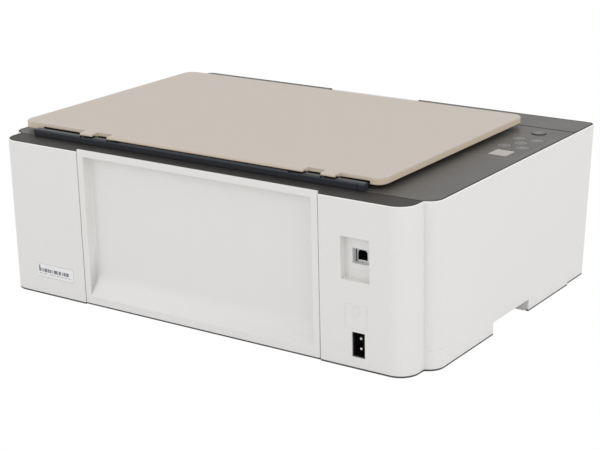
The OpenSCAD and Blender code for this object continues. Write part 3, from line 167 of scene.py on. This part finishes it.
def lighter(colour, by):
    return tuple(min(1.0, c * by) for c in colour[:3]) + (1,)


# moulded plastic: spark-eroded grain, faint flow marks and a slightly uneven gloss
def moulded(name, colour, rough=0.42, grain=0.45, depth=0.006, mottle=0.02, specular=0.5):
    made = Finish(name)
    made.shader.inputs["Specular IOR Level"].default_value = specular
    cloud = made.noise(0.035, 3)
    fine = made.noise(grain * mm, 2, 0.6)
    tone = made.blendColours(cloud, lighter(colour, 1 - mottle), lighter(colour, 1 + mottle))
    made.use(Base_Color=tone, Roughness=rough + (cloud - 0.5) * 0.10 + (fine - 0.5) * 0.08,
             Normal=made.bump(fine, depth * mm))
    return made


# bare metal: fine lines along one axis
def metal(name, colour, rough=0.3, along=0, depth=0.002):
    made = Finish(name, Metallic=1.0)
    stretch = [900.0, 900.0, 900.0]
    stretch[along] = 12.0
    lines = made.node("TexNoise", None, {"Vector": made.node("Mapping", None,
                      {"Vector": made.where(), "Scale": stretch}), "Scale": 1.0, "Detail": 2.0})
    cloud = made.noise(0.02, 3)
    tone = made.blendColours(lines, lighter(colour, 0.9), lighter(colour, 1.08))
    made.use(Base_Color=tone, Roughness=rough + (lines - 0.5) * 0.15 + (cloud - 0.5) * 0.1,
             Normal=made.bump(lines, depth * mm))
    return made


def rubbery(name, colour, rough=0.75):
    made = Finish(name)
    made.shader.inputs["Specular IOR Level"].default_value = 0.3
    grain = made.noise(0.0006, 3, 0.7)
    dust = made.noise(0.012, 4)
    made.use(Base_Color=made.blendColours(dust * 0.6, colour, lighter(colour, 1.9)),
             Roughness=rough + (dust - 0.5) * 0.15, Normal=made.bump(grain, 0.02 * mm))
    return made


def fibrous(name, colour):
    made = Finish(name)
    made.shader.inputs["Specular IOR Level"].default_value = 0.15
    fibres = made.node("TexVoronoi", {"feature": "F1"}, {"Vector": made.where(), "Scale": 1400.0})
    cloud = made.noise(0.004, 4)
    made.use(Base_Color=made.blendColours(cloud, lighter(colour, 0.93), lighter(colour, 1.05)),
             Roughness=0.9 - cloud * 0.1, Normal=made.bump(fibres + cloud, 0.08 * mm))
    return made


# circuit board: lacquer over copper runs
def circuit(name, colour):
    made = Finish(name)
    made.shader.inputs["Coat Weight"].default_value = 0.4
    x, y, z = made.axes()
    runs = made.node("TexVoronoi", {"feature": "DISTANCE_TO_EDGE"}, {"Vector": made.where(), "Scale": 260.0})
    mask = runs < 0.06
    made.use(Base_Color=made.blendColours(mask, colour, lighter(colour, 2.2)),
             Roughness=0.35 + mask * 0.1, Normal=made.bump(mask, 0.02 * mm))
    return made


def clear(name, colour, rough=0.03):
    made = Finish(name, Roughness=rough)
    made.shader.inputs["Transmission Weight"].default_value = 1.0
    made.shader.inputs["IOR"].default_value = 1.5
    smear = made.noise(0.03, 4)
    made.use(Base_Color=made.blendColours(smear, colour, lighter(colour, 1.04)),
             Roughness=rough + smear * 0.03)
    return made


# the white walls carry a blank raised field between the two rear connections and a fine ledge at a corner
# (a bump with a faint painted shade); a painted shadow line runs along their foot, a painted highlight along
# their rim, and painted shade covers the faces in the gap beside the dark plates
whiteLook = {
    "colour": shade(232, 231, 229), "rough": 0.40, "grain": 0.5,
    "fieldX": (-167.0, -147.5), "fieldZ": (34.0, 53.6), "line": 0.45,
    "gap": shade(34, 33, 32), "foot": shade(58, 58, 60), "footShadowTop": 3.1, "frontLift": 1.3, "trayLift": 0.5,
    "rim": shade(252, 251, 247), "rimFrom": 134.9, "fieldFrom": 150.5, "ringRise": 5.0, "ringRadius": 3.6,
    "ledge": 18.4, "ledgeHalf": 0.35, "ledgeX": -205.0, "ledgeY": 112.0,
    "trayX": -3.7, "trayHalf": 119.9, "trayFrom": 130.0, "frontTo": -100.0,
}


def whiteShell():
    w = whiteLook
    made = moulded("whiteShell", w["colour"], w["rough"], w["grain"], 0.004, 0.008)
    x, y, z = made.axes()
    midX, halfX = (w["fieldX"][0] + w["fieldX"][1]) / 2 * mm, (w["fieldX"][1] - w["fieldX"][0]) / 2 * mm
    midZ, halfZ = (w["fieldZ"][0] + w["fieldZ"][1]) / 2 * mm, (w["fieldZ"][1] - w["fieldZ"][0]) / 2 * mm
    outX = abs(x - midX) - halfX
    outZ = abs(z - midZ) - halfZ
    edge = outX.join("MAXIMUM", outZ)
    frameLine = abs(edge) < w["line"] * mm
    crossLine = (abs(x - midX) < w["line"] * 0.8 * mm) * (edge < 0.0)
    ringUp = z - midZ - w["ringRise"] * mm
    ring = abs(((x - midX) * (x - midX) + ringUp * ringUp).root() - w["ringRadius"] * mm)
    marks = frameLine.join("MAXIMUM", crossLine * 0.5).join("MAXIMUM", ring < w["line"] * 0.8 * mm)
    raised = marks * (y > w["fieldFrom"] * mm)
    ledge = (abs(z - w["ledge"] * mm) < w["ledgeHalf"] * mm)
    ledge = ledge * (x < w["ledgeX"] * mm) * (y > w["ledgeY"] * mm)
    fine = made.noise(w["grain"] * mm, 2, 0.6)
    inTray = (abs(x - w["trayX"] * mm) < w["trayHalf"] * mm) * (y > w["trayFrom"] * mm)
    lift = (y < w["frontTo"] * mm) * (w["frontLift"] * mm) + inTray * (w["trayLift"] * mm)
    footShadowTop = lift + w["footShadowTop"] * mm
    cloud = made.noise(0.035, 3)
    tone = made.blendColours(cloud, lighter(w["colour"], 0.992), lighter(w["colour"], 1.008))
    # painted highlight: the tops of the white walls are painted brighter, except at the tray
    tone = made.blendColours((z > w["rimFrom"] * mm) * (1 - inTray), tone, w["rim"])
    # painted shade: a faint darkening along the ledge, which is also drawn with a bump
    tone = made.blendColours(ledge * 0.05, tone, (0.3, 0.3, 0.3, 1))
    # painted shadow: the lowest few mm of the white walls are painted dark, standing in for the shade in the
    # gap under them
    tone = made.blendColours(z < footShadowTop, tone, w["foot"])
    # painted shade: the white faces marked in the narrow gap beside the dark plates are painted near black
    gap = made.node("Attribute", {"attribute_name": "gap"}, out=2)
    tone = made.blendColours(gap > 0.5, tone, w["gap"])
    made.use(Base_Color=tone,
             Normal=made.bump(raised, 0.12 * mm, 1.0, made.bump(fine + ledge * 20.0, 0.004 * mm)))
    return made


# paper label with a row of plain bars, a taller bar at one end and a broken line of small marks below
labelLook = {
    "paper": shade(239, 239, 239), "ink": shade(118, 118, 124), "faint": shade(180, 180, 186),
    "barsX": (134.6, 168.5), "barsZ": (22.3, 25.5), "pitch": 0.55,
    "tickX": (167.2, 168.8), "tickZ": (22.3, 28.0), "lineX": (130.0, 168.4), "lineZ": (20.3, 21.1),
}


def between(value, ends):
    return (value > ends[0] * mm) * (value < ends[1] * mm)


def labelPaper():
    made = moulded("labelPaper", labelLook["paper"], 0.45, 0.8, 0.001, 0.004)
    x, y, z = made.axes()
    bars = labelLook
    cell = (x / (bars["pitch"] * mm)).join("FLOOR")
    pick = made.node("TexWhiteNoise", {"noise_dimensions": "1D"}, {"W": cell})
    barred = between(x, bars["barsX"]) * between(z, bars["barsZ"]) * (pick > 0.22)
    tall = between(x, bars["tickX"]) * between(z, bars["tickZ"])
    dashCell = (x / (1.9 * bars["pitch"] * mm)).join("FLOOR")
    dash = made.node("TexWhiteNoise", {"noise_dimensions": "1D"}, {"W": dashCell + 40.5})
    dashes = between(x, bars["lineX"]) * between(z, bars["lineZ"]) * (dash > 0.35)
    tone = made.blendColours(dashes, bars["paper"], bars["faint"])
    tone = made.blendColours(barred.join("MAXIMUM", tall), tone, bars["ink"])
    made.use(Base_Color=tone)
    return made


# keys: a pale mark in the middle and a pale ring near the edge
keyLook = {"base": shade(97, 94, 90), "ring": shade(122, 119, 115), "mark": shade(124, 121, 117),
           "power": shade(78, 77, 80), "ringRadius": 5.1, "ringWidth": 0.55, "markRadius": 1.7,
           "powerReach": 6.0, "powerHole": 1.4}


def keyCentre(key):
    low, high = nodeBox(key + "_button")
    return [(a + b) / 2 for a, b in zip(low, high)]


def keyTops():
    made = moulded("keyGrey", keyLook["base"], 0.4, 0.4, 0.004, 0.02)
    x, y, z = made.axes()
    nearest = None
    for key in ("info", "cancel", "wireless", "resume", "copy"):
        spot = keyCentre(key)
        away = ((x - spot[0]) * (x - spot[0]) + (y - spot[1]) * (y - spot[1])).root()
        nearest = away if nearest is None else nearest.join("MINIMUM", away)
    ring = (abs(nearest - keyLook["ringRadius"] * mm) < keyLook["ringWidth"] * mm) * (z > topFace * mm)
    spot = keyCentre("power")
    fromPower = ((x - spot[0]) * (x - spot[0]) + (y - spot[1]) * (y - spot[1])).root()
    raised = (fromPower < keyLook["powerReach"] * mm)
    raised = raised * (fromPower > keyLook["markRadius"] * keyLook["powerHole"] * mm)
    mark = nearest.join("MINIMUM", fromPower) < keyLook["markRadius"] * mm
    mark = mark * (z > topFace * mm)
    tone = made.blendColours(ring, keyLook["base"], keyLook["ring"])
    tone = made.blendColours(raised, tone, keyLook["power"])
    made.use(Base_Color=made.blendColours(mark, tone, keyLook["mark"]))
    return made


# the dark top has a fine outline round the keys, and painted shade on its sides below the top face, in the
# gap beside the white rim
topLook = {"colour": shade(80, 77, 73), "outline": shade(112, 109, 104), "x": (-206.5, -150.0),
           "y": (-81.0, -6.0), "radius": 5.0, "width": 0.35,
           "gap": shade(38, 36, 35), "drop": 0.04, "outlineTo": -150.0}


def darkTop():
    look = topLook
    made = moulded("darkTop", look["colour"], 0.42, 0.4, 0.006, 0.03, 0.38)
    x, y, z = made.axes()
    away = []
    for value, ends in ((x, look["x"]), (y, look["y"])):
        middle, half = (ends[0] + ends[1]) / 2 * mm, ((ends[1] - ends[0]) / 2 - look["radius"]) * mm
        away.append((abs(value - middle) - half).join("MAXIMUM", 0.0))
    edge = (away[0] * away[0] + away[1] * away[1]).root()
    line = (abs(edge - look["radius"] * mm) < look["width"] * mm) * (x < look["outlineTo"] * mm)
    cloud = made.noise(0.035, 3)
    tone = made.blendColours(cloud, lighter(look["colour"], 0.97), lighter(look["colour"], 1.03))
    tone = made.blendColours(line, tone, look["outline"])
    level = nodeBox("scanner_top")[1][2]
    # painted shade on the plate's sides below its top face
    made.use(Base_Color=made.blendColours(z < level - look["drop"] * mm, tone, look["gap"]))
    return made


# the lid's sides carry a warmer painted light than its top, and its hinge eyes and undercuts carry painted
# shadow
lidColours = {"top": shade(205, 194, 183), "side": shade(222, 205, 184), "shadow": shade(34, 35, 38),
              "paintedSideFrom": 0.9, "eyeFrom": 2.7, "rear": 7.5, "eyeGap": 0.9, "cutFrom": 3.2, "cutTo": 0.3,
              "corner": 11.0}


def warmLid():
    look = lidColours
    top, side = look["top"], look["side"]
    made = moulded("warmLid", top, 0.5, 0.6, 0.008, 0.012)
    x, y, z = made.axes()
    low, high = nodeBox("scanner_lid")
    cloud = made.noise(0.035, 3)
    tone = made.blendColours(cloud, lighter(top, 0.988), lighter(top, 1.012))
    # painted light: the sides below the top edge are painted a warmer, lighter tan
    tone = made.blendColours(z < high[2] - look["paintedSideFrom"] * mm, tone, side)
    rear = high[1] - look["rear"] * mm                    # the lid's rear face, in front of the lips
    # painted shadow: the hinge eyes and the undercuts under the rear edge are painted dark where they lie in
    # shade
    below = z < high[2] - look["eyeFrom"] * mm
    eye = (y > rear + look["eyeGap"] * mm) * below
    inner = abs(x - (low[0] + high[0]) / 2) < (high[0] - low[0]) / 2 - look["corner"] * mm
    cut = (y > rear - look["cutFrom"] * mm) * (y < rear - look["cutTo"] * mm) * below * inner
    made.use(Base_Color=made.blendColours(eye.join("MAXIMUM", cut), tone, look["shadow"]))
    return made


# hinge beam: its upper face is painted lighter than its sides, a painted highlight
hingeLook = {"base": shade(42, 45, 52), "low": shade(41, 44, 51), "high": shade(44, 47, 54),
             "top": shade(68, 71, 78), "topFrom": 141.3}


def hingeDark():
    look = hingeLook
    made = moulded("hingeDark", look["base"], 0.4, 0.4, 0.005, 0.03, 0.4)
    x, y, z = made.axes()
    cloud = made.noise(0.035, 3)
    tone = made.blendColours(cloud, look["low"], look["high"])
    # painted highlight on the beam's upper face
    made.use(Base_Color=made.blendColours(z > look["topFrom"] * mm, tone, look["top"]))
    return made


looks = {
    "white_shell": whiteShell(),
    "warm_lid": warmLid(),
    "dark_top": darkTop(),
    "dark_rear": moulded("darkRear", shade(48, 45, 42), 0.5, 0.4, 0.006, 0.03, 0.2),
    "hinge_dark": hingeDark(),
    "base_grey": moulded("paleBase", shade(222, 221, 218), 0.5, 0.6, 0.008, 0.02),
    "inner_dark": moulded("innerDark", shade(58, 58, 60), 0.5, 0.6, 0.01, 0.04),
    "inner_grey": moulded("innerGrey", shade(128, 127, 124), 0.48, 0.6, 0.008, 0.03),
    "foot_rubber": rubbery("footRubber", shade(60, 60, 60)),
    "screw_steel": metal("screwSteel", shade(190, 190, 192), 0.35, 2),
    "rod_steel": metal("rodSteel", shade(205, 205, 207), 0.18, 0),
    "sheet_steel": metal("sheetSteel", shade(178, 180, 183), 0.42, 0),
    "motor_steel": metal("motorSteel", shade(160, 162, 165), 0.38, 2),
    "pinion_brass": metal("pinionBrass", shade(205, 170, 96), 0.3, 0),
    "clear_glass": clear("bedGlass", (0.93, 0.97, 0.96, 1)),
    "strip_film": clear("stripFilm", (0.8, 0.8, 0.8, 1), 0.12),
    "belt_rubber": rubbery("beltRubber", shade(38, 38, 40)),
    "roller_rubber": rubbery("rollerRubber", shade(66, 66, 66), 0.65),
    "pad_cork": rubbery("padCork", shade(140, 84, 58), 0.85),
    "backing_white": fibrous("backingWhite", shade(238, 238, 236)),
    "ink_felt": fibrous("inkFelt", shade(214, 208, 194)),
    "gear_nylon": moulded("gearNylon", shade(226, 223, 214), 0.35, 0.8, 0.003, 0.02),
    "key_grey": keyTops(),
    "lcd_grey": moulded("displayPane", shade(164, 157, 145), 0.12, 1.5, 0.0005, 0.01),
    "board_green": circuit("boardGreen", shade(38, 84, 48)),
    "label_silver": labelPaper(),
    "black_part": moulded("blackPart", shade(28, 28, 30), 0.38, 0.5, 0.005, 0.04),
    "colour_part": moulded("colourPart", shade(58, 96, 140), 0.3, 0.5, 0.003, 0.02),
    "socket_steel": metal("socketSteel", shade(200, 200, 202), 0.28, 1),
}
for name, node in nodes.items():
    node.data.materials.clear()
    node.data.materials.append(looks[slotOf[name]].material)
print("materials made:", len(looks))


# ---- mesh helpers ----
def finishMesh(bm, name, body, slotName, foldAngle=32, material=None):
    bmesh.ops.recalc_face_normals(bm, faces=bm.faces)
    mesh = bpy.data.meshes.new(name)
    bm.to_mesh(mesh)
    bm.free()
    mesh.shade_smooth()
    mesh.set_sharp_from_angle(angle=math.radians(foldAngle))
    made = bpy.data.objects.new(name, mesh)
    bpy.context.scene.collection.objects.link(made)
    mesh.materials.append((material or looks[slotName]).material)
    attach(made, body)
    return made


def roundEdges(made, width, segments):
    mod = made.modifiers.new("edges", "BEVEL")
    mod.limit_method = "WEIGHT"
    mod.width = width * mm
    mod.segments = segments
    mod.profile = 0.5
    mod.use_clamp_overlap = False
    mod.harden_normals = True
    mod.miter_outer = "MITER_ARC"
    return made


# a CAD node with its flat faces joined up and its edges rounded: rule gives each sharp edge its radius in mm
def softened(nodeName, rule, segments=3, shape=None, foldAngle=32, material=None):
    bm = bmesh.new()
    bm.from_mesh(nodes[nodeName].data)
    bmesh.ops.remove_doubles(bm, verts=bm.verts, dist=2e-6)
    bmesh.ops.dissolve_limit(bm, angle_limit=math.radians(0.3), verts=bm.verts, edges=bm.edges,
                             use_dissolve_boundaries=False, delimit={"NORMAL"})
    if shape:
        shape(bm)
    weights = bm.edges.layers.float.new("bevel_weight_edge")
    radii = {}
    for edge in bm.edges:
        if len(edge.link_faces) != 2:
            continue
        if edge.calc_face_angle(0) < math.radians(foldAngle):
            continue
        middle = (edge.verts[0].co + edge.verts[1].co) / 2 / mm
        run = (edge.verts[1].co - edge.verts[0].co).normalized()
        radii[edge] = max(0.0, rule(middle, run, edge))
    largest = max(list(radii.values()) + [0.01])
    for edge, radius in radii.items():
        edge[weights] = radius / largest
    made = finishMesh(bm, nodeName + "Look", bodyOf[nodeName], slotOf[nodeName], foldAngle, material)
    roundEdges(made, largest, segments)
    even = made.modifiers.new("even shading", "WEIGHTED_NORMAL")
    even.keep_sharp = True
    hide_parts(nodeName)
    return made


def plain(radius):
    return lambda middle, run, edge: radius


def inside(value, ends):
    return ends[0] < value < ends[1]


# black inlet with two bright pins
inletParts = {"body": shade(22, 22, 24), "pin": shade(205, 200, 188), "halfPitch": 4.15, "reach": 1.35,
              "pinFrom": 137.3}


def inletLook():
    part = inletParts
    made = moulded("inletBlack", part["body"], 0.35, 0.5, 0.004, 0.03)
    x, y, z = made.axes()
    low, high = nodeBox("power_inlet")
    midX, midZ = (low[0] + high[0]) / 2, (low[2] + high[2]) / 2
    up = abs(z - midZ) - part["halfPitch"] * mm
    pinAway = ((x - midX) * (x - midX) + up * up).root()
    pins = (pinAway < part["reach"] * mm) * (y > part["pinFrom"] * mm)
    made.use(Base_Color=made.blendColours(pins, part["body"], part["pin"]), Metallic=pins)
    return made


# pale socket that is black inside
socketParts = {"metal": shade(226, 227, 230), "inside": shade(14, 14, 16), "fromSide": 5.1, "fromFoot": 6.2,
               "halfWidth": 4.3, "halfHeight": 4.2, "lip": 0.25, "rough": 0.35, "insideRough": 0.3}


def socketLook():
    part = socketParts
    made = moulded("socketPale", part["metal"], part["rough"], 0.6, 0.002, 0.01)
    low, high = nodeBox("usb_socket")
    x, y, z = made.axes()
    midX, midZ = high[0] - part["fromSide"] * mm, low[2] + part["fromFoot"] * mm
    hollow = (abs(x - midX) < part["halfWidth"] * mm) * (abs(z - midZ) < part["halfHeight"] * mm)
    hollow = hollow * (y < high[1] - part["lip"] * mm)
    made.use(Base_Color=made.blendColours(hollow, part["metal"], part["inside"]),
             Roughness=hollow * part["insideRough"] + part["rough"])
    return made


# ---- outer walls ----
shellLook = {"edge": 0.35, "rim": 0.3, "foot": 0.4, "recess": 0.7, "recessBack": 0.25, "gapFrom": 131.0,
             "innerX": 205.0, "innerY": 130.0, "rimFrom": 135.0, "ledgeFrom": 132.9, "footTo": 3.0,
             "footLedge": 3.2, "recessX": (-171.0, -141.0), "recessZ": (70.0, 108.0), "recessFrom": 137.0,
             "rearFrom": 150.5, "frontTo": -129.0, "rimTop": 135.2}


def shellRule(middle, run, edge):
    s = shellLook
    x, y, z = middle
    if abs(x) < s["innerX"] and abs(y) < s["innerY"]:
        return 0.0                                     # inner bosses and rails
    if z > s["ledgeFrom"]:
        return s["rim"] if z > s["rimFrom"] else 0.0
    if z < s["footLedge"]:
        return s["foot"] if z < s["footTo"] else 0.0
    if y > s["recessFrom"] and inside(x, s["recessX"]) and inside(z, s["recessZ"]):
        return s["recess"] if y > s["rearFrom"] else s["recessBack"]
    if y > s["rearFrom"] or y < s["frontTo"]:
        return s["edge"]
    return 0.0


# the ledge and the inner faces of the rim lie in a narrow gap beside the dark plates; they are marked for
# painted shade
def markGapShade(bm):
    layer = bm.faces.layers.float.new("gap")
    for face in bm.faces:
        low = min(v.co.z for v in face.verts)
        top = face.normal.z > 0.9 and low > shellLook["rimTop"] * mm
        face[layer] = 1.0 if low > shellLook["gapFrom"] * mm and not top else 0.0


softened("main_shell", shellRule, 2, markGapShade)
print("walls done")

# ---- lid ----
lidLook = {"edge": 1.1, "under": 0.5, "tab": 0.35, "topFrom": 144.3, "lipFrom": 120.5, "rearFrom": 119.6,
           "underTo": 139.2, "sides": (-161.0, 205.0), "front": -111.0, "along": 0.9}


def lidRule(middle, run, edge):
    x, y, z = middle
    look = lidLook
    if z > look["topFrom"] and (y < look["lipFrom"] or abs(run.x) > look["along"]):
        return look["edge"]
    if y > look["rearFrom"]:
        return look["tab"]
    outer = not inside(x, look["sides"]) or y < look["front"]
    if z < look["underTo"] and abs(y) < look["rearFrom"] and outer:
        return look["under"]
    return 0.0


softened("scanner_lid", lidRule, 4)

# ---- plates on top, hinge beam, keys ----
# the plates' outer edges are rounded more than the edges of the openings for the keys
plateLook = {"keysX": (-208.0, -148.0), "keysY": (-84.0, -4.0), "opening": 0.25, "outer": 0.85}


def plateRule(middle, run, edge):
    look = plateLook
    if middle.z < topFace:
        return 0.0
    atKeys = inside(middle.x, look["keysX"]) and inside(middle.y, look["keysY"])
    return look["opening"] if atKeys else look["outer"]


softened("scanner_top", plateRule, 2)
softened("front_strip", plateRule, 2)
softened("rear_strip", lambda m, r, e: 0.3 if m.z > topFace else 0.0, 2)
softened("hinge_beam", plain(0.35), 2)
for key in ("power", "info", "cancel", "wireless", "resume", "copy"):
    softened(key + "_button", lambda m, r, e: 0.35 if m.z > 135.2 else 0.1, 3)
softened("display", lambda m, r, e: 0.2 if m.z > 135 else 0.0, 2)

# ---- rear tray: the hollow's foot is a slope, and its corners are soft ----
trayLook = {"rim": 0.7, "slope": 13.0, "side": 7.0, "far": 1.6, "lip": 1.2, "back": 0.3,
            "footY": 141.2, "footZ": 10.2, "footReach": 0.4, "floorY": (140.8, 141.6),
            "wallY": (141.4, 150.8), "wallX": (-119.0, 112.0), "wallZ": (8.0, 132.0), "middleZ": 60.0,
            "rimFrom": 150.8, "backFrom": 148.0,
            "cuts": (((-3.7, 0, 0), (1, 0, 0)), ((0, 0, 70), (0, 0, 1)))}


def traySlope(bm):
    look = trayLook
    low = [v for v in bm.verts if abs(v.co.y / mm - look["footY"]) < look["footReach"]
           and abs(v.co.z / mm - look["footZ"]) < look["footReach"]]
    bmesh.ops.translate(bm, vec=Vector((0, 0, look["slope"] * mm)), verts=low)
    for spot, across in look["cuts"]:                     # parts the rim's face, which runs round the hollow
        bmesh.ops.bisect_plane(bm, geom=bm.verts[:] + bm.edges[:] + bm.faces[:], plane_co=Vector(spot) * mm,
                               plane_no=Vector(across))


def trayRule(middle, run, edge):
    x, y, z = middle
    look = trayLook
    if inside(y, look["floorY"]):
        soft = x < 0 if abs(run.z) > 0.8 else z < look["middleZ"]
        return look["side"] if soft else look["far"]
    inHollow = inside(y, look["wallY"]) and inside(x, look["wallX"]) and inside(z, look["wallZ"])
    if inHollow and abs(run.y) > 0.3:
        return 0.0 if z < look["middleZ"] else look["lip"]
    if y > look["rimFrom"]:
        return look["rim"]
    return look["back"] if y > look["backFrom"] else 0.0


softened("rear_tray", trayRule, 5, traySlope)

# ---- front flaps and what is behind them ----
softened("cartridge_door", lambda m, r, e: 0.4 if abs(r.x) > 0.9 or abs(r.z) > 0.9 else 0.25, 2)
softened("output_tray", plain(0.4), 2)
softened("output_extension", plain(0.4), 2)
softened("paper_guide", plain(0.3), 2)
softened("base_case", lambda m, r, e: 0.4 if abs(m.x) > 185 and m.z < 13 else 0.0, 2)
softened("rubber_feet", plain(0.3), 2)
softened("power_inlet", plain(0.25), 2, material=inletLook())
softened("usb_socket", plain(0.2), 2, material=socketLook())
softened("lid_backing", plain(0.5), 2)
print("pieces softened")

# ---- camera ----
cameraLook = {"place": (-760.991, 1076.798, 469.499), "turn": (72.29425, 0.79355, -146.95233), "lens": 94.449,
              "shiftX": -50 / 600, "shiftY": 0.0}
eye = bpy.data.cameras.new("photoCamera")
eye.lens = cameraLook["lens"]
eye.sensor_width = 36
eye.shift_x = cameraLook["shiftX"]
eye.shift_y = cameraLook["shiftY"]
eye.clip_end = 50
camera = bpy.data.objects.new("photoCamera", eye)
camera.location = Vector(cameraLook["place"]) * mm
camera.rotation_euler = [math.radians(a) for a in cameraLook["turn"]]
bpy.context.scene.collection.objects.link(camera)
bpy.context.scene.camera = camera

# ---- floor, world and lamps ----
roomLook = {"world": 0.74, "floorGlow": 1.0, "key": 8.5, "keyPlace": (0.7, 2.3, 1.2), "fill": 13.5,
            "fillPlace": (-2.4, 0.5, 1.1), "top": 0.8, "topPlace": (0.2, -0.6, 2.6),
            "sizes": {"key": 1.6, "fill": 2.0, "top": 2.4}, "floorSize": 14, "aim": (0, 0, 0.06)}
bm = bmesh.new()
bmesh.ops.create_grid(bm, x_segments=1, y_segments=1, size=roomLook["floorSize"])
floorMesh = bpy.data.meshes.new("floor")
bm.to_mesh(floorMesh)
bm.free()
floor = bpy.data.objects.new("floor", floorMesh)
bpy.context.scene.collection.objects.link(floor)
floorFinish = Finish("paleFloor", Roughness=0.9)
floorFinish.shader.inputs["Base Color"].default_value = (0.86, 0.86, 0.86, 1)
floorFinish.shader.inputs["Specular IOR Level"].default_value = 0.0
glow = floorFinish.node("Emission", None, {"Color": (1, 1, 1, 1), "Strength": 1.0})
light = floorFinish.tree.nodes.new("ShaderNodeLightPath")
seen = Term(floorFinish.tree, light.outputs["Is Camera Ray"])
mirrored = Term(floorFinish.tree, light.outputs["Is Glossy Ray"])
through = Term(floorFinish.tree, light.outputs["Is Transmission Ray"])
mask = seen.join("MAXIMUM", mirrored).join("MAXIMUM", through) * roomLook["floorGlow"]
mixed = floorFinish.tree.nodes.new("ShaderNodeMixShader")
floorFinish.tree.links.new(mask.sock, mixed.inputs[0])
floorFinish.tree.links.new(floorFinish.shader.outputs[0], mixed.inputs[1])
floorFinish.tree.links.new(glow.sock, mixed.inputs[2])
floorFinish.tree.links.new(mixed.outputs[0], floorFinish.tree.nodes["Material Output"].inputs[0])
floorMesh.materials.append(floorFinish.material)

world = bpy.data.worlds.new("studio")
bpy.context.scene.world = world
world.use_nodes = True
sky = world.node_tree
backdrop = sky.nodes["Background"]
backdrop.inputs["Color"].default_value = (1, 1, 1, 1)
path = sky.nodes.new("ShaderNodeLightPath")
asSeen = Term(sky, path.outputs["Is Camera Ray"]).join("MAXIMUM", Term(sky, path.outputs["Is Glossy Ray"]))
asSeen = asSeen.join("MAXIMUM", Term(sky, path.outputs["Is Transmission Ray"]))
level = asSeen * (1.0 - roomLook["world"]) + roomLook["world"]
sky.links.new(level.sock, backdrop.inputs["Strength"])


def lamp(name, place, power, size):
    data = bpy.data.lights.new(name, "AREA")
    data.shape = "SQUARE"
    data.size = size
    data.energy = power
    made = bpy.data.objects.new(name, data)
    made.location = place
    made.rotation_euler = (Vector(roomLook["aim"]) - Vector(place)).to_track_quat("-Z", "Y").to_euler()
    bpy.context.scene.collection.objects.link(made)


for name, size in roomLook["sizes"].items():
    lamp(name + "Lamp", roomLook[name + "Place"], roomLook[name], size)
bpy.context.scene.view_settings.view_transform = "Standard"
print("stage done")
